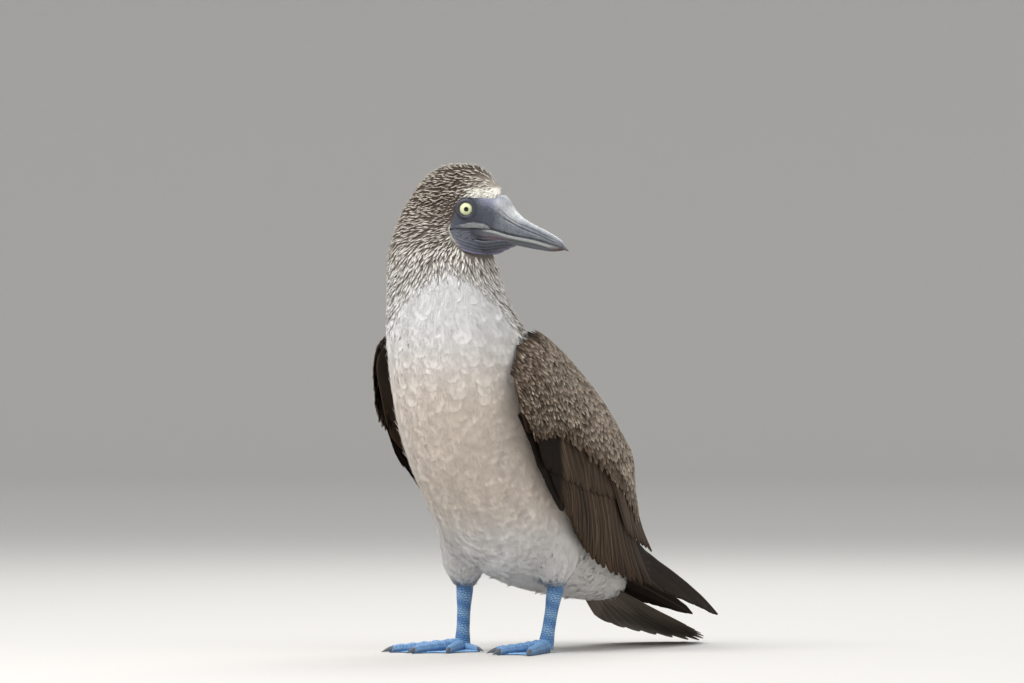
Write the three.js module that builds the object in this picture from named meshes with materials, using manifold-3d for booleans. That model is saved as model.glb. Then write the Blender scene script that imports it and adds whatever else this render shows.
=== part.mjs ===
// A blue-footed booby, life size, standing with its head turned to its left: a still display model.
// Millimetres, +Z up. The bird faces -Y, its left side is +X, and the soles rest on z = 0.
import * as THREE from "three";
import Module from "manifold-3d";

const wasm = await Module();
wasm.setup();

// Driving sizes
const GAP = 0.3;
const NECK_TOP_Z = 377;
const NECK_FOOT_Z = 306;
const HEAD_AXIS_Y = -92;
const EYE_MIDDLE = new THREE.Vector3(40, HEAD_AXIS_Y, 423.5);
const BILL_PITCH = THREE.MathUtils.degToRad(14);
const EYE_RADIUS = 8.2;
const EYE_AXIS = THREE.MathUtils.degToRad(58);
const BILL_TIP = 116.3;
const LOWER_BILL_TIP = 110;
const TAIL_ROOT = { y: 138, z: 66 };
const TAIL_LENGTH = 172;
const FOOT_LEFT = { x: 42, y: 11 };
const FOOT_RIGHT = { x: -42, y: -11 };

const TAU = 2 * Math.PI;
const clamp = (x) => Math.min(1, Math.max(0, x));
const mix = (a, b, t) => a + (b - a) * t;
const smooth = (a, b, x) => {
  const t = clamp((x - a) / (b - a));
  return t * t * (3 - 2 * t);
};
const power = (x, e) => Math.sign(x) * Math.abs(x) ** e;

// A smooth curve through rows of numbers, evenly spaced in t (uniform Catmull-Rom).
function through(rows, t) {
  const last = rows.length - 1;
  const s = clamp(t) * last;
  const i = Math.min(Math.floor(s), last - 1);
  const f = s - i;
  const [a, b, c, d] = [rows[Math.max(i - 1, 0)], rows[i], rows[i + 1], rows[Math.min(i + 2, last)]];
  return b.map(
    (_, k) =>
      b[k] +
      0.5 * f * (c[k] - a[k] + f * (2 * a[k] - 5 * b[k] + 4 * c[k] - d[k] + f * (3 * (b[k] - c[k]) + d[k] - a[k]))),
  );
}

// A value read from pairs [x, value] at x, with straight runs between them.
function profile(pairs, x) {
  const i = Math.max(1, pairs.findIndex((p) => p[0] >= x));
  const [a, b] = x >= pairs.at(-1)[0] ? pairs.slice(-2) : [pairs[i - 1], pairs[i]];
  return mix(a[1], b[1], clamp((x - a[0]) / (b[0] - a[0])));
}

// A closed skin over rings of points, with a pole at each end. alike splits a vane's two faces the same way.
function closedSkin(rings, around, pointAt, alike = false) {
  const position = [];
  const index = [];
  for (let i = 0; i < rings; i++)
    for (let j = 0; j < around; j++) position.push(...pointAt((i + 1) / (rings + 1), (j / around) * TAU));
  const pole = (v) => {
    position.push(...pointAt(v, 0));
    return position.length / 3 - 1;
  };
  const [first, last] = [pole(0), pole(1)];
  const at = (i, j) => i * around + (j % around);
  for (let j = 0; j < around; j++) {
    index.push(first, at(0, j + 1), at(0, j));
    index.push(last, at(rings - 1, j), at(rings - 1, j + 1));
    for (let i = 0; i < rings - 1; i++) {
      const [a, b, c, d] = [at(i, j), at(i, j + 1), at(i + 1, j), at(i + 1, j + 1)];
      if (alike && j % 2) index.push(a, b, c, b, d, c);
      else index.push(a, d, c, a, b, d);
    }
  }
  return new THREE.BufferGeometry()
    .setAttribute("position", new THREE.Float32BufferAttribute(position, 3))
    .setIndex(index);
}

// The solid that a closed indexed geometry bounds, turned the right way out.
function solidOf(geometry) {
  const triVerts = new Uint32Array(geometry.index.array);
  const build = () =>
    new wasm.Manifold(new wasm.Mesh({ numProp: 3, vertProperties: geometry.attributes.position.array, triVerts }));
  const made = build();
  if (made.volume() > 0) return made;
  for (let i = 0; i < triVerts.length; i += 3)
    [triVerts[i + 1], triVerts[i + 2]] = [triVerts[i + 2], triVerts[i + 1]];
  return build();
}

const solidSkin = (...args) => solidOf(closedSkin(...args));
const joined = (solids) => wasm.Manifold.union(solids);
// After its cuts a node keeps only its largest closed surface.
const largest = (solid) => solid.decompose().sort((a, b) => b.volume() - a.volume())[0];

// The body from crown to tail root as one skin of rings. Each row: centre x, y, z, the tilt of the ring in
// degrees, its reach to the left, right, back and front, how far the front of the head is pinched, and squareness.
const BODY_ROWS = [
  [20, HEAD_AXIS_Y, 466, 0, 1, 1, 1, 1, 0, 1],
  [18, HEAD_AXIS_Y, 464, 0, 24, 20, 10, 10, 0, 1],
  [10, HEAD_AXIS_Y, 455, 0, 48, 30, 17, 17, 0.1, 1],
  [4, HEAD_AXIS_Y, 440, 0, 67, 38, 23, 23, 0.35, 1],
  [2, HEAD_AXIS_Y, 421, 0, 65, 50, 27, 28, 0.48, 1],
  [0, HEAD_AXIS_Y, 404, 0, 61, 54, 36, 36, 0.55, 1],
  [-1, -93, 388, 0, 58, 56, 44, 44, 0.35, 1],
  [0, -94, 372, 0, 56, 57, 49, 49, 0.1, 1],
  [0, -88, 342, 0, 59, 59, 56, 56, 0, 1],
  [0, -76, 309, 4, 66, 66, 64, 66, 0, 0.97],
  [0, -64, 274, 16, 69, 69, 76, 74, 0, 0.92],
  [0, -48, 232, 28, 70, 70, 88, 80, 0, 0.88],
  [0, -18, 187, 38, 70, 70, 92, 84, 0, 0.86],
  [0, 16, 147, 46, 68, 68, 90, 83, 0, 0.86],
  [0, 50, 114, 55, 62, 62, 82, 61, 0, 0.88],
  [0, 90, 90, 62, 51, 51, 62, 43, 0, 0.92],
  [0, 125, 76, 68, 39, 39, 42, 32, 0, 0.95],
  [0, 155, 65, 72, 29, 29, 23, 22, 0, 1],
  [0, 177, 57, 75, 14, 14, 9, 9, 0, 1],
  [0, 182, 55, 75, 1, 1, 1, 1, 0, 1],
];

function bodyPoint(t, angle, grow = 0) {
  const [x, y, z, tilt, left, right, rear, front, pinch, square] = through(BODY_ROWS, t);
  const [c, s] = [Math.cos(angle), Math.sin(angle)];
  const lean = THREE.MathUtils.degToRad(tilt);
  const edge = s > 0 ? square : 1;
  const across = ((c > 0 ? left : right) + grow) * power(c, edge);
  const deep = ((s > 0 ? rear : front) + grow) * power(s, edge) * (1 - pinch * Math.max(c, 0));
  const end = grow * (t < 0.02 ? 1 : 0);
  return [x + across, y + deep * Math.cos(lean), z + deep * Math.sin(lean) + end];
}

const bodySolid = (grow) => solidSkin(40, 24, (t, angle) => bodyPoint(t, angle, grow));
const body = bodySolid(0);
const bodyGrown = bodySolid(GAP + 0.25);

// Head frame: forward along the bill, to the bird's right, and up.
const FORWARD = new THREE.Vector3(Math.cos(BILL_PITCH), 0, -Math.sin(BILL_PITCH));
const SIDE = new THREE.Vector3(0, -1, 0);
const UP = new THREE.Vector3(Math.sin(BILL_PITCH), 0, Math.cos(BILL_PITCH));
const headPoint = (f, r, u) =>
  EYE_MIDDLE.clone().addScaledVector(FORWARD, f).addScaledVector(SIDE, r).addScaledVector(UP, u);

// Bill outlines along the head frame: top ridge, mouth line, lower edge, throat skin and half widths.
const RIDGE = [[8, 19], [32, 19], [42, 11], [53, 5.2], [67, 2], [86, -1], [99, -3.6], [109, -7.4], [BILL_TIP, -13.5]];
const MOUTH = [[-9, -22.5], [4, -18], [27, -15.6], [50, -15.8], [81, -13.4], [104, -13], [BILL_TIP, -13.6]];
const KEEL = [[-9, -25], [5, -29.5], [20, -30], [40, -25], [55, -22.6], [80, -20.4], [100, -17.4], [LOWER_BILL_TIP, -13.9]];
const THROAT = [[-4, -27], [3, -32], [13, -38.2], [26, -38.6], [33, -36.2], [43, -30], [56, -23]];
const BILL_HALF = [[-9, 24], [4, 20.5], [16, 17.5], [30, 13.8], [42, 11.2], [53, 9.4], [67, 8], [86, 6], [99, 4.5], [109, 2.9], [BILL_TIP, 0.5]];

// One half of the bill: an arched wall that closes on a flat face along the mouth line.
function billHalf(from, to, edge, sign) {
  return solidSkin(15, 12, (v, angle) => {
    const f = mix(from, to, v);
    const close = v === 0 || v === 1 ? 0.02 : 1;
    const half = profile(BILL_HALF, f) * (sign < 0 ? 0.97 : 1);
    const base = profile(MOUTH, f) + sign * 0.2;
    const height = Math.max(0.3, sign * (profile(edge, f) - base));
    const rise = height * Math.max(Math.sin(angle), 0) ** 0.8;
    return headPoint(f, half * Math.cos(angle) * close, base + sign * (0.1 + rise * close)).toArray();
  });
}

// The bare throat skin, a soft bag slung below the lower bill, with its top just under the bill's lower edge.
const throatSkin = solidSkin(9, 12, (v, angle) => {
  const f = mix(-4, 56, v);
  const full = Math.sqrt(Math.max(0, 1 - (2 * v - 1) ** 4));
  const top = profile(KEEL, f) + 4;
  const drop = (top - profile(THROAT, f)) * full;
  const half = profile(BILL_HALF, f) * 0.9 * full;
  return headPoint(f, half * Math.cos(angle), top - drop * Math.max(Math.sin(angle), 0) ** 0.8).toArray();
});

// An eye looks out and forward. Its lids are a raised ring, thicker above and below, with the ball set in it.
function eyeSet(sign) {
  const axis = new THREE.Vector3()
    .addScaledVector(FORWARD, Math.cos(EYE_AXIS))
    .addScaledVector(SIDE, sign * Math.sin(EYE_AXIS));
  const face = headPoint(0.5, sign * 17.6, 0);
  const ball = face.clone().addScaledVector(axis, -5.2);
  const sphere = (radius) => {
    const frame = new THREE.Matrix4().makeTranslation(ball.x, ball.y, ball.z);
    return solidSkin(7, 12, (v, angle) =>
      new THREE.Vector3(
        radius * Math.sin(Math.PI * v) * Math.cos(angle),
        radius * Math.sin(Math.PI * v) * Math.sin(angle),
        radius * Math.cos(Math.PI * v),
      )
        .applyMatrix4(frame)
        .toArray(),
    );
  };
  const ringUp = UP.clone();
  const ringAcross = new THREE.Vector3().crossVectors(ringUp, axis).normalize();
  const lidSpot = (angle, out, deep) =>
    face
      .clone()
      .addScaledVector(ringAcross, Math.cos(angle) * out)
      .addScaledVector(ringUp, Math.sin(angle) * out)
      .addScaledVector(axis, deep);
  // The lids as a low dome round the eye; the ball's socket, cut later, leaves them as a ring.
  const lids = solidSkin(5, 16, (v, angle) => {
    const out = 10.6 * Math.sin((Math.PI / 2) * Math.min(1, 2 * v));
    const deep = v < 0.5 ? mix(0.9, -3, (2 * v) ** 3) : mix(-3, -8, 2 * v - 1);
    const narrow = v < 0.5 ? 1 : 2 - 2 * v;
    return lidSpot(angle, out * narrow, deep).toArray();
  });
  return { ball: sphere(EYE_RADIUS), socket: sphere(EYE_RADIUS + GAP), lids, axis, face };
}

const eyeRight = eyeSet(1);
const eyeLeft = eyeSet(-1);

const headCore = body.trimByPlane([0, 0, 1], NECK_TOP_Z + GAP / 2);
const head = joined([headCore, eyeRight.lids, eyeLeft.lids]).subtract(eyeRight.socket).subtract(eyeLeft.socket);
const neck = body.trimByPlane([0, 0, -1], -(NECK_TOP_Z - GAP / 2)).trimByPlane([0, 0, 1], NECK_FOOT_Z + GAP / 2);
const torso = body.trimByPlane([0, 0, -1], -(NECK_FOOT_Z - GAP / 2));

const lidGap = joined([eyeRight, eyeLeft].map((eye) => eye.lids));
const faceGrown = joined([bodyGrown, lidGap.translate([0.3, 0, 0]), lidGap.translate([0, -0.3, 0]), lidGap.translate([0, 0.3, 0]), lidGap]);
const billUpper = largest(billHalf(9, BILL_TIP, RIDGE, 1).subtract(faceGrown));
const billLower = largest(billHalf(-9, LOWER_BILL_TIP, KEEL, -1).subtract(faceGrown));
const billLowerGrown = joined([
  billHalf(-9, LOWER_BILL_TIP, KEEL, -1),
  billHalf(-9, LOWER_BILL_TIP, KEEL, -1).translate([0, 0.4, 0]),
  billHalf(-9, LOWER_BILL_TIP, KEEL, -1).translate([0, -0.4, 0]),
  billHalf(-9, LOWER_BILL_TIP, KEEL, -1).translate([0, 0, -0.4]),
  billHalf(9, BILL_TIP, RIDGE, 1),
]);
const throat = largest(throatSkin.subtract(bodyGrown).subtract(billLowerGrown));

// Wings. A wing lies as a sheet on the flank: p runs from the wrist to the wing tip, q across it, upwards.
const WRIST = { y: -64, z: 265 };
const WING_SLOPE = THREE.MathUtils.degToRad(33);
const WING_OUT = [[-20, 82], [20, 88], [110, 87], [180, 78], [240, 63], [300, 50], [430, 38]];
const FLIGHT_TIP_OUT = { left: 38, right: 8 };

function wingPoint(wing, p, q, lift) {
  const y = WRIST.y + p * Math.cos(WING_SLOPE) + q * Math.sin(WING_SLOPE);
  const z = WRIST.z - p * Math.sin(WING_SLOPE) + q * Math.cos(WING_SLOPE);
  const top = Math.max(0, q + 4 - 0.02 * p);
  const foot = Math.max(0, -q - 46);
  const nose = Math.max(0, 16 - p);
  const lean = 0.5 * smooth(170, 300, p) * (q + 40 - 40 * smooth(250, 420, p));
  const turn = (38 - wing.tipOut) * smooth(230, 420, p);
  const out =
    profile(WING_OUT, p) - wing.round * top ** 2 - 0.006 * foot ** 2 - 0.018 * nose ** 2 - lean - turn +
    wing.spread * (1 - smooth(80, 380, p)) + wing.flare * smooth(-30, 35, q) * (1 - smooth(60, 220, p));
  return [wing.side * (out + lift), y, z];
}

// The arm: a flat pillow under the coverts, from the shoulder back to where the secondaries hang free.
const ARM_TOP = [[-16, 22], [0, 50], [60, 52], [120, 42], [180, 28], [215, 8]];
const ARM_FOOT = [[-16, -8], [0, -34], [30, -52], [70, -56], [130, -48], [190, -28], [215, -8]];

const wingArm = (wing) =>
  solidSkin(9, 12, (v, angle) => {
    const p = mix(-16, 215, v);
    const ends = v === 0 || v === 1 ? 0.02 : 1;
    const [top, foot] = [profile(ARM_TOP, p), profile(ARM_FOOT, p)];
    const q = (top + foot) / 2 + ((top - foot) / 2) * Math.cos(angle) * ends;
    const thick = 17 * Math.sin(Math.PI * clamp(0.12 + 0.76 * v)) ** 0.6;
    return wingPoint(wing, p, q, -thick * 0.5 + (thick * 0.5 - 1.2) * Math.sin(angle) * ends);
  });

// One vane: a thin blade whose edges lie a little up and down, so that each laps over the next like a tile.
function wingVane(wing, { root, tip, width, lift, sink, tilt, steps, bow }) {
  const along = { p: tip.p - root.p, q: tip.q - root.q };
  const length = Math.hypot(along.p, along.q);
  const across = { p: -along.q / length, q: along.p / length };
  return solidSkin(
    steps,
    4,
    (v, angle) => {
      const half = (width / 2) * Math.min(1, 0.35 + 2.2 * v) * Math.sqrt(clamp((1 - v) / 0.3)) ** (v < 0.7 ? 0 : 1);
      const off = half * Math.cos(angle) + bow * Math.sin(Math.PI * v);
      const thick = 0.75 * Math.sin(angle) * (v === 0 || v === 1 ? 0 : 1);
      const height = mix(-sink, lift, smooth(0, 0.45, v)) + tilt * Math.cos(angle) + thick;
      return wingPoint(
        wing,
        root.p + along.p * v + across.p * off,
        root.q + along.q * v + across.q * off,
        height,
      );
    },
    true,
  );
}

// A tier of vanes spread evenly between its first and last, front to back.
function tier(wing, count, first, last, shape) {
  return Array.from({ length: count }, (_, k) => {
    const t = count > 1 ? k / (count - 1) : 0;
    const spot = (key) => ({ p: mix(first[key].p, last[key].p, t), q: mix(first[key].q, last[key].q, t) });
    const tip = spot("tip");
    const sag = (shape.sag ?? 0) * Math.sin(Math.PI * t);
    tip.q -= sag;
    tip.p += 1.5 * Math.sin(k * 2.4);
    return wingVane(wing, { bow: 0, ...shape, root: spot("root"), tip, width: mix(first.width, last.width, t) });
  });
}

function wingSolid(wing) {
  const secondaries = tier(
    wing,
    10,
    { root: { p: 22, q: -32 }, tip: { p: 112, q: -71 }, width: 20 },
    { root: { p: 150, q: 22 }, tip: { p: 300, q: -50 }, width: 26 },
    { lift: -1.5, sink: 8, tilt: 0.8, steps: 4, sag: 22 },
  );
  const greater = tier(
    wing,
    8,
    { root: { p: 8, q: -22 }, tip: { p: 68, q: -62 }, width: 20 },
    { root: { p: 130, q: 32 }, tip: { p: 222, q: 0 }, width: 26 },
    { lift: 0.6, sink: 7, tilt: 0.8, steps: 3, sag: 10 },
  );
  const median = tier(
    wing,
    7,
    { root: { p: -6, q: 0 }, tip: { p: 32, q: -38 }, width: 22 },
    { root: { p: 104, q: 38 }, tip: { p: 172, q: 18 }, width: 25 },
    { lift: 2.2, sink: 6, tilt: 0.7, steps: 3, sag: 4 },
  );
  const primaries = tier(
    wing,
    5,
    { root: { p: 90, q: -34 }, tip: { p: 326, q: -36 }, width: 17 },
    { root: { p: 120, q: -24 }, tip: { p: 422, q: 0 }, width: 19 },
    { lift: -6.5, sink: 12, tilt: 0.7, steps: 5, bow: -9 },
  );
  const handCoverts = tier(
    wing,
    2,
    { root: { p: 12, q: -34 }, tip: { p: 84, q: -68 }, width: 17 },
    { root: { p: 30, q: -40 }, tip: { p: 112, q: -74 }, width: 17 },
    { lift: -5, sink: 9, tilt: 0.6, steps: 3 },
  );
  return joined([wingArm(wing), ...secondaries, ...greater, ...median, ...primaries, ...handCoverts]);
}

const WINGS = {
  left: { side: 1, spread: 0, flare: 0, round: 0.006, tipOut: FLIGHT_TIP_OUT.left },
  right: { side: -1, spread: 18, flare: 15, round: 0.001, tipOut: FLIGHT_TIP_OUT.right },
};

// Legs: a feathered thigh, a scaled shank and a foot whose four toes are all webbed.
const ANKLE_RISE = 62;
const legs = { left: { at: FOOT_LEFT, side: 1, lean: 16 }, right: { at: FOOT_RIGHT, side: -1, lean: 4 } };
const SHANK_TOP = 76;
const SHANK_FOOT = 12.5;

function shankSolid(leg, low, high, grow = 0) {
  return solidSkin(7, 12, (v, angle) => {
    const z = mix(low, high, v);
    const t = (z - 4) / (ANKLE_RISE - 4);
    const ends = v === 0 || v === 1 ? 0.02 : 1;
    const swell = 1 + 0.28 * smooth(0.55, 1, t) + 0.22 * (1 - smooth(0, 0.35, t));
    const reach = [(5.4 * swell + grow) * ends, (7.6 * swell + grow) * ends];
    return [leg.at.x + reach[0] * Math.cos(angle), leg.at.y + leg.lean * t + reach[1] * Math.sin(angle), z];
  });
}

// The thigh hangs from the belly and closes round the ankle: rows of height, centre forward shift and reach.
const THIGH_ROWS = [[62, 0, 9, 10], [70, 0, 14, 16], [84, -1, 20, 24], [104, -2, 25, 32], [132, -6, 24, 36], [150, -10, 10, 12]];
const thighSolid = (leg) =>
  solidSkin(8, 14, (v, angle) => {
    const [z, shift, across, deep] = through(THIGH_ROWS, v);
    const ends = v === 0 || v === 1 ? 0.02 : 1;
    const x = leg.at.x - leg.side * smooth(80, 150, z) * 8;
    return [
      x + across * ends * Math.cos(angle),
      leg.at.y + leg.lean + shift + deep * ends * Math.sin(angle),
      z,
    ];
  });

// Toes: direction in degrees from straight ahead, outwards positive, with length and half thickness.
const TOES = [
  { name: "hind", turn: -74, length: 30, half: 3 },
  { name: "inner", turn: -24, length: 58, half: 3.8 },
  { name: "middle", turn: 1, length: 78, half: 4.2 },
  { name: "outer", turn: 26, length: 80, half: 4 },
];
const CLAW = 9;
const WEB = { low: 0.7, high: 2.5 };

const toeDirection = (leg, toe, wave = 0) => {
  const turn = THREE.MathUtils.degToRad(toe.turn + leg.side * 0 + wave);
  return { x: leg.side * Math.sin(turn), y: -Math.cos(turn) };
};

function toeSolid(leg, toe) {
  const aim = toeDirection(leg, toe);
  return solidSkin(6, 8, (v, angle) => {
    const ends = v === 0 || v === 1 ? 0.02 : 1;
    const knuckle = 1 + 0.14 * Math.sin(v * 3.2 * TAU) ** 2;
    const half = toe.half * mix(1.35, 0.75, v) * knuckle * ends;
    const run = toe.length * v - 3;
    const flat = -Math.min(0.55, Math.max(0.55, 0));
    return [
      leg.at.x + aim.x * run - aim.y * half * Math.cos(angle),
      leg.at.y + aim.y * run + aim.x * half * Math.cos(angle),
      half * 1.5 * Math.max(Math.sin(angle), flat) + 0.75 * half * ends,
    ];
  });
}

function clawSolid(leg, toe) {
  const aim = toeDirection(leg, toe);
  return solidSkin(3, 6, (v, angle) => {
    const half = mix(toe.half * 0.62, 0.25, v) * (v === 0 || v === 1 ? 0.02 : 1);
    const run = toe.length - 6 + (CLAW + 3) * v;
    const rise = 3.4 - 2.9 * v ** 1.8;
    return [
      leg.at.x + aim.x * run - aim.y * half * Math.cos(angle),
      leg.at.y + aim.y * run + aim.x * half * Math.cos(angle),
      rise + half * 1.2 * Math.sin(angle),
    ];
  });
}

// The web between two toes: a plate whose free edge is drawn in between them.
function webSolid(leg, a, b) {
  const outline = new THREE.Shape();
  const reach = (toe, share) => {
    const aim = toeDirection(leg, toe);
    return [leg.at.x + aim.x * toe.length * share, leg.at.y + aim.y * toe.length * share];
  };
  const [ax, ay] = reach(a, 0.93);
  const [bx, by] = reach(b, 0.93);
  const middle = [((ax + bx) / 2 - leg.at.x) * 0.86 + leg.at.x, ((ay + by) / 2 - leg.at.y) * 0.86 + leg.at.y];
  outline.moveTo(leg.at.x, leg.at.y);
  outline.lineTo(ax, ay);
  outline.quadraticCurveTo(...middle, bx, by);
  outline.closePath();
  const points = outline.getPoints(6);
  if (THREE.ShapeUtils.isClockWise(points)) points.reverse();
  const flat = points.slice(0, -1);
  const faces = THREE.ShapeUtils.triangulateShape(flat, []);
  const n = flat.length;
  const position = [...flat.flatMap((p) => [p.x, p.y, WEB.low]), ...flat.flatMap((p) => [p.x, p.y, WEB.high])];
  const index = faces.flatMap(([i, j, k]) => [i, k, j, i + n, j + n, k + n]);
  for (let i = 0; i < n; i++) {
    const j = (i + 1) % n;
    index.push(i, j, j + n, i, j + n, i + n);
  }
  return solidOf(
    new THREE.BufferGeometry().setAttribute("position", new THREE.Float32BufferAttribute(position, 3)).setIndex(index),
  );
}

function footSolid(leg) {
  const heel = shankSolid(leg, 1, SHANK_FOOT + 8);
  const webs = [0, 1, 2].map((k) => webSolid(leg, TOES[k], TOES[k + 1]));
  const toes = TOES.map((toe) => toeSolid(leg, toe));
  const claws = TOES.map((toe) => clawSolid(leg, toe));
  const whole = joined([heel, ...webs, ...toes, ...claws]).trimByPlane([0, 0, 1], 0);
  return largest(whole.trimByPlane([0, 0, -1], -(SHANK_FOOT - GAP / 2)));
}

// Tail: a graduated fan of vanes that leaves the rump and bends until its tip is laid at the level of the soles.
const TAIL_VANES = 12;
const TAIL_SPREAD = THREE.MathUtils.degToRad(25);

function tailPoint(run, off, lift) {
  const t = run / TAIL_LENGTH;
  const y = TAIL_ROOT.y + run * (0.86 + 0.13 * t);
  const z = mix(TAIL_ROOT.z, 0.35, t) + 16 * t * (t - 1) - 0.0035 * off ** 2 * (1 - t) ** 0.5;
  return [off, y, z + lift];
}

function tailSolid() {
  const vanes = Array.from({ length: TAIL_VANES }, (_, k) => {
    const place = (2 * k) / (TAIL_VANES - 1) - 1;
    const aim = place * TAIL_SPREAD;
    const length = TAIL_LENGTH * (1 - 0.36 * Math.abs(place) ** 1.4);
    return solidSkin(
      6,
      4,
      (v, angle) => {
        const half = 10.5 * Math.min(1, 0.5 + 1.5 * v) * (v < 0.72 ? 1 : Math.sqrt(clamp((1 - v) / 0.28)));
        const run = length * v * Math.cos(aim) - half * Math.cos(angle) * Math.sin(aim);
        const off = length * v * Math.sin(aim) + half * Math.cos(angle) * Math.cos(aim) + place * 7 * (1 - v);
        const tile = 0.7 * Math.cos(angle) * (place > 0 ? -1 : 1) * (1 - v);
        return tailPoint(run, off, tile + (v === 1 ? 0 : 0.8 * Math.sin(angle)) + 0.9 * (1 - Math.abs(place)) * (1 - v));
      },
      true,
    );
  });
  // The covert pad that binds the vanes where they leave the rump.
  const pad = solidSkin(6, 12, (v, angle) => {
    const ends = v === 0 || v === 1 ? 0.02 : 1;
    const half = mix(24, 34, v) * ends;
    return tailPoint(70 * v, half * Math.cos(angle), mix(10, 1.4, v) * ends * Math.sin(angle));
  });
  return joined([pad, ...vanes]);
}

const tail = largest(tailSolid().subtract(bodyGrown).trimByPlane([0, 0, 1], 0));

const thighs = {};
const shanks = {};
const feet = {};
for (const [name, leg] of Object.entries(legs)) {
  const thigh = largest(thighSolid(leg).subtract(bodyGrown));
  const shankAll = shankSolid(leg, 1, SHANK_TOP).trimByPlane([0, 0, 1], SHANK_FOOT + GAP / 2);
  thighs[name] = largest(thigh.subtract(shankSolid(leg, 1, SHANK_TOP + GAP, GAP + 0.1)));
  shanks[name] = largest(shankAll);
  feet[name] = footSolid(leg);
}

const wings = {};
for (const [name, wing] of Object.entries(WINGS)) {
  const thigh = thighs[name];
  const keepOff = joined([bodyGrown, thigh, thigh.translate([wing.side * 0.5, 0, 0]), thigh.translate([0, 0, 0.5])]);
  wings[name] = largest(wingSolid(wing).subtract(keepOff));
}

// Finishes of the display model
const finish = (color, roughness) => new THREE.MeshStandardMaterial({ color, roughness, metalness: 0 });
const FINISH = {
  white: finish(0xe4e0da, 0.9),
  streaked: finish(0xb5a692, 0.9),
  brown: finish(0x55483c, 0.85),
  bill: finish(0x667080, 0.5),
  throat: finish(0x5c5f78, 0.6),
  blue: finish(0x5a97c8, 0.55),
  eye: finish(0xd9dca0, 0.1),
};

const pieces = [
  ["head", largest(head), FINISH.streaked],
  ["neck", neck, FINISH.streaked],
  ["torso", torso, FINISH.white],
  ["bill_upper", billUpper, FINISH.bill],
  ["bill_lower", billLower, FINISH.bill],
  ["throat_skin", throat, FINISH.throat],
  ["eye_left", eyeLeft.ball, FINISH.eye],
  ["eye_right", eyeRight.ball, FINISH.eye],
  ["tail", tail, FINISH.brown],
];
for (const name of ["left", "right"])
  pieces.push(
    [`wing_${name}`, wings[name], FINISH.brown],
    [`thigh_${name}`, thighs[name], FINISH.white],
    [`shank_${name}`, shanks[name], FINISH.blue],
    [`foot_${name}`, feet[name], FINISH.blue],
  );

// The origin is put under the middle of the whole model, on the ground.
const boxes = pieces.map(([, solid]) => solid.boundingBox());
const middle = [0, 1].map((k) => (Math.min(...boxes.map((b) => b.min[k])) + Math.max(...boxes.map((b) => b.max[k]))) / 2);

const booby = new THREE.Group();
for (const [name, solid, material] of pieces) {
  const mesh = solid.translate([-middle[0], -middle[1], 0]).getMesh();
  const geometry = new THREE.BufferGeometry()
    .setAttribute("position", new THREE.Float32BufferAttribute(mesh.vertProperties, 3))
    .setIndex(new THREE.BufferAttribute(mesh.triVerts, 1));
  const part = new THREE.Mesh(geometry, material);
  part.name = name;
  booby.add(part);
}

export default booby;
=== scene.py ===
import math

import bpy
import numpy as np
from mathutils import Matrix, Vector
from mathutils.bvhtree import BVHTree
from mathutils.kdtree import KDTree


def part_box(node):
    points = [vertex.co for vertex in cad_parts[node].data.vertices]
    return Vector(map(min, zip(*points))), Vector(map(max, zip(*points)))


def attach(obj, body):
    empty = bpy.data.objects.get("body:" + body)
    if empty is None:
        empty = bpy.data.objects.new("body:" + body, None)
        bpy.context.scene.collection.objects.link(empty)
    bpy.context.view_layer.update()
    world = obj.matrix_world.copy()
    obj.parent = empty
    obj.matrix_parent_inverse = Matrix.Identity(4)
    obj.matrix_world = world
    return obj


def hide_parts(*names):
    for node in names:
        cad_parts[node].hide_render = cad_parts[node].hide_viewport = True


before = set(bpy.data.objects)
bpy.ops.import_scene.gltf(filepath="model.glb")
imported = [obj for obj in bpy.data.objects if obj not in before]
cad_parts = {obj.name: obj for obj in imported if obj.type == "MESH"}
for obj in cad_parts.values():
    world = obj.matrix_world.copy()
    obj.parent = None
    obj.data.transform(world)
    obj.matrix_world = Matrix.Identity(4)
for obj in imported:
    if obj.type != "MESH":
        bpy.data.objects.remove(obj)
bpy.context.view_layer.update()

# Where the bird stands. Its own measures below are in millimetres, from a point on the floor
# between the heels: +X to its left, -Y the way it faces. The two eyes place that point here.
MM = 0.001
BILL_PITCH = math.radians(14)
FORWARD = np.array([math.cos(BILL_PITCH), 0.0, -math.sin(BILL_PITCH)])
SIDE = np.array([0.0, -1.0, 0.0])
UP = np.array([math.sin(BILL_PITCH), 0.0, math.cos(BILL_PITCH)])
EYE_MIDDLE = np.array([40.0, -92.0, 423.5])
EYE_AXIS = math.radians(58)
LID_AHEAD = 0.5
BALL_DEPTH = 5.2
eye_corners = [np.array(corner) for node in ("eye_left", "eye_right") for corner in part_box(node)]
balls_middle = sum(eye_corners) / 4 / MM
STAND = balls_middle - EYE_MIDDLE - FORWARD * (LID_AHEAD - BALL_DEPTH * math.cos(EYE_AXIS))


def placed(points):
    """Bird millimetres turned into scene metres."""
    return (np.asarray(points, float) + STAND) * MM


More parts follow.
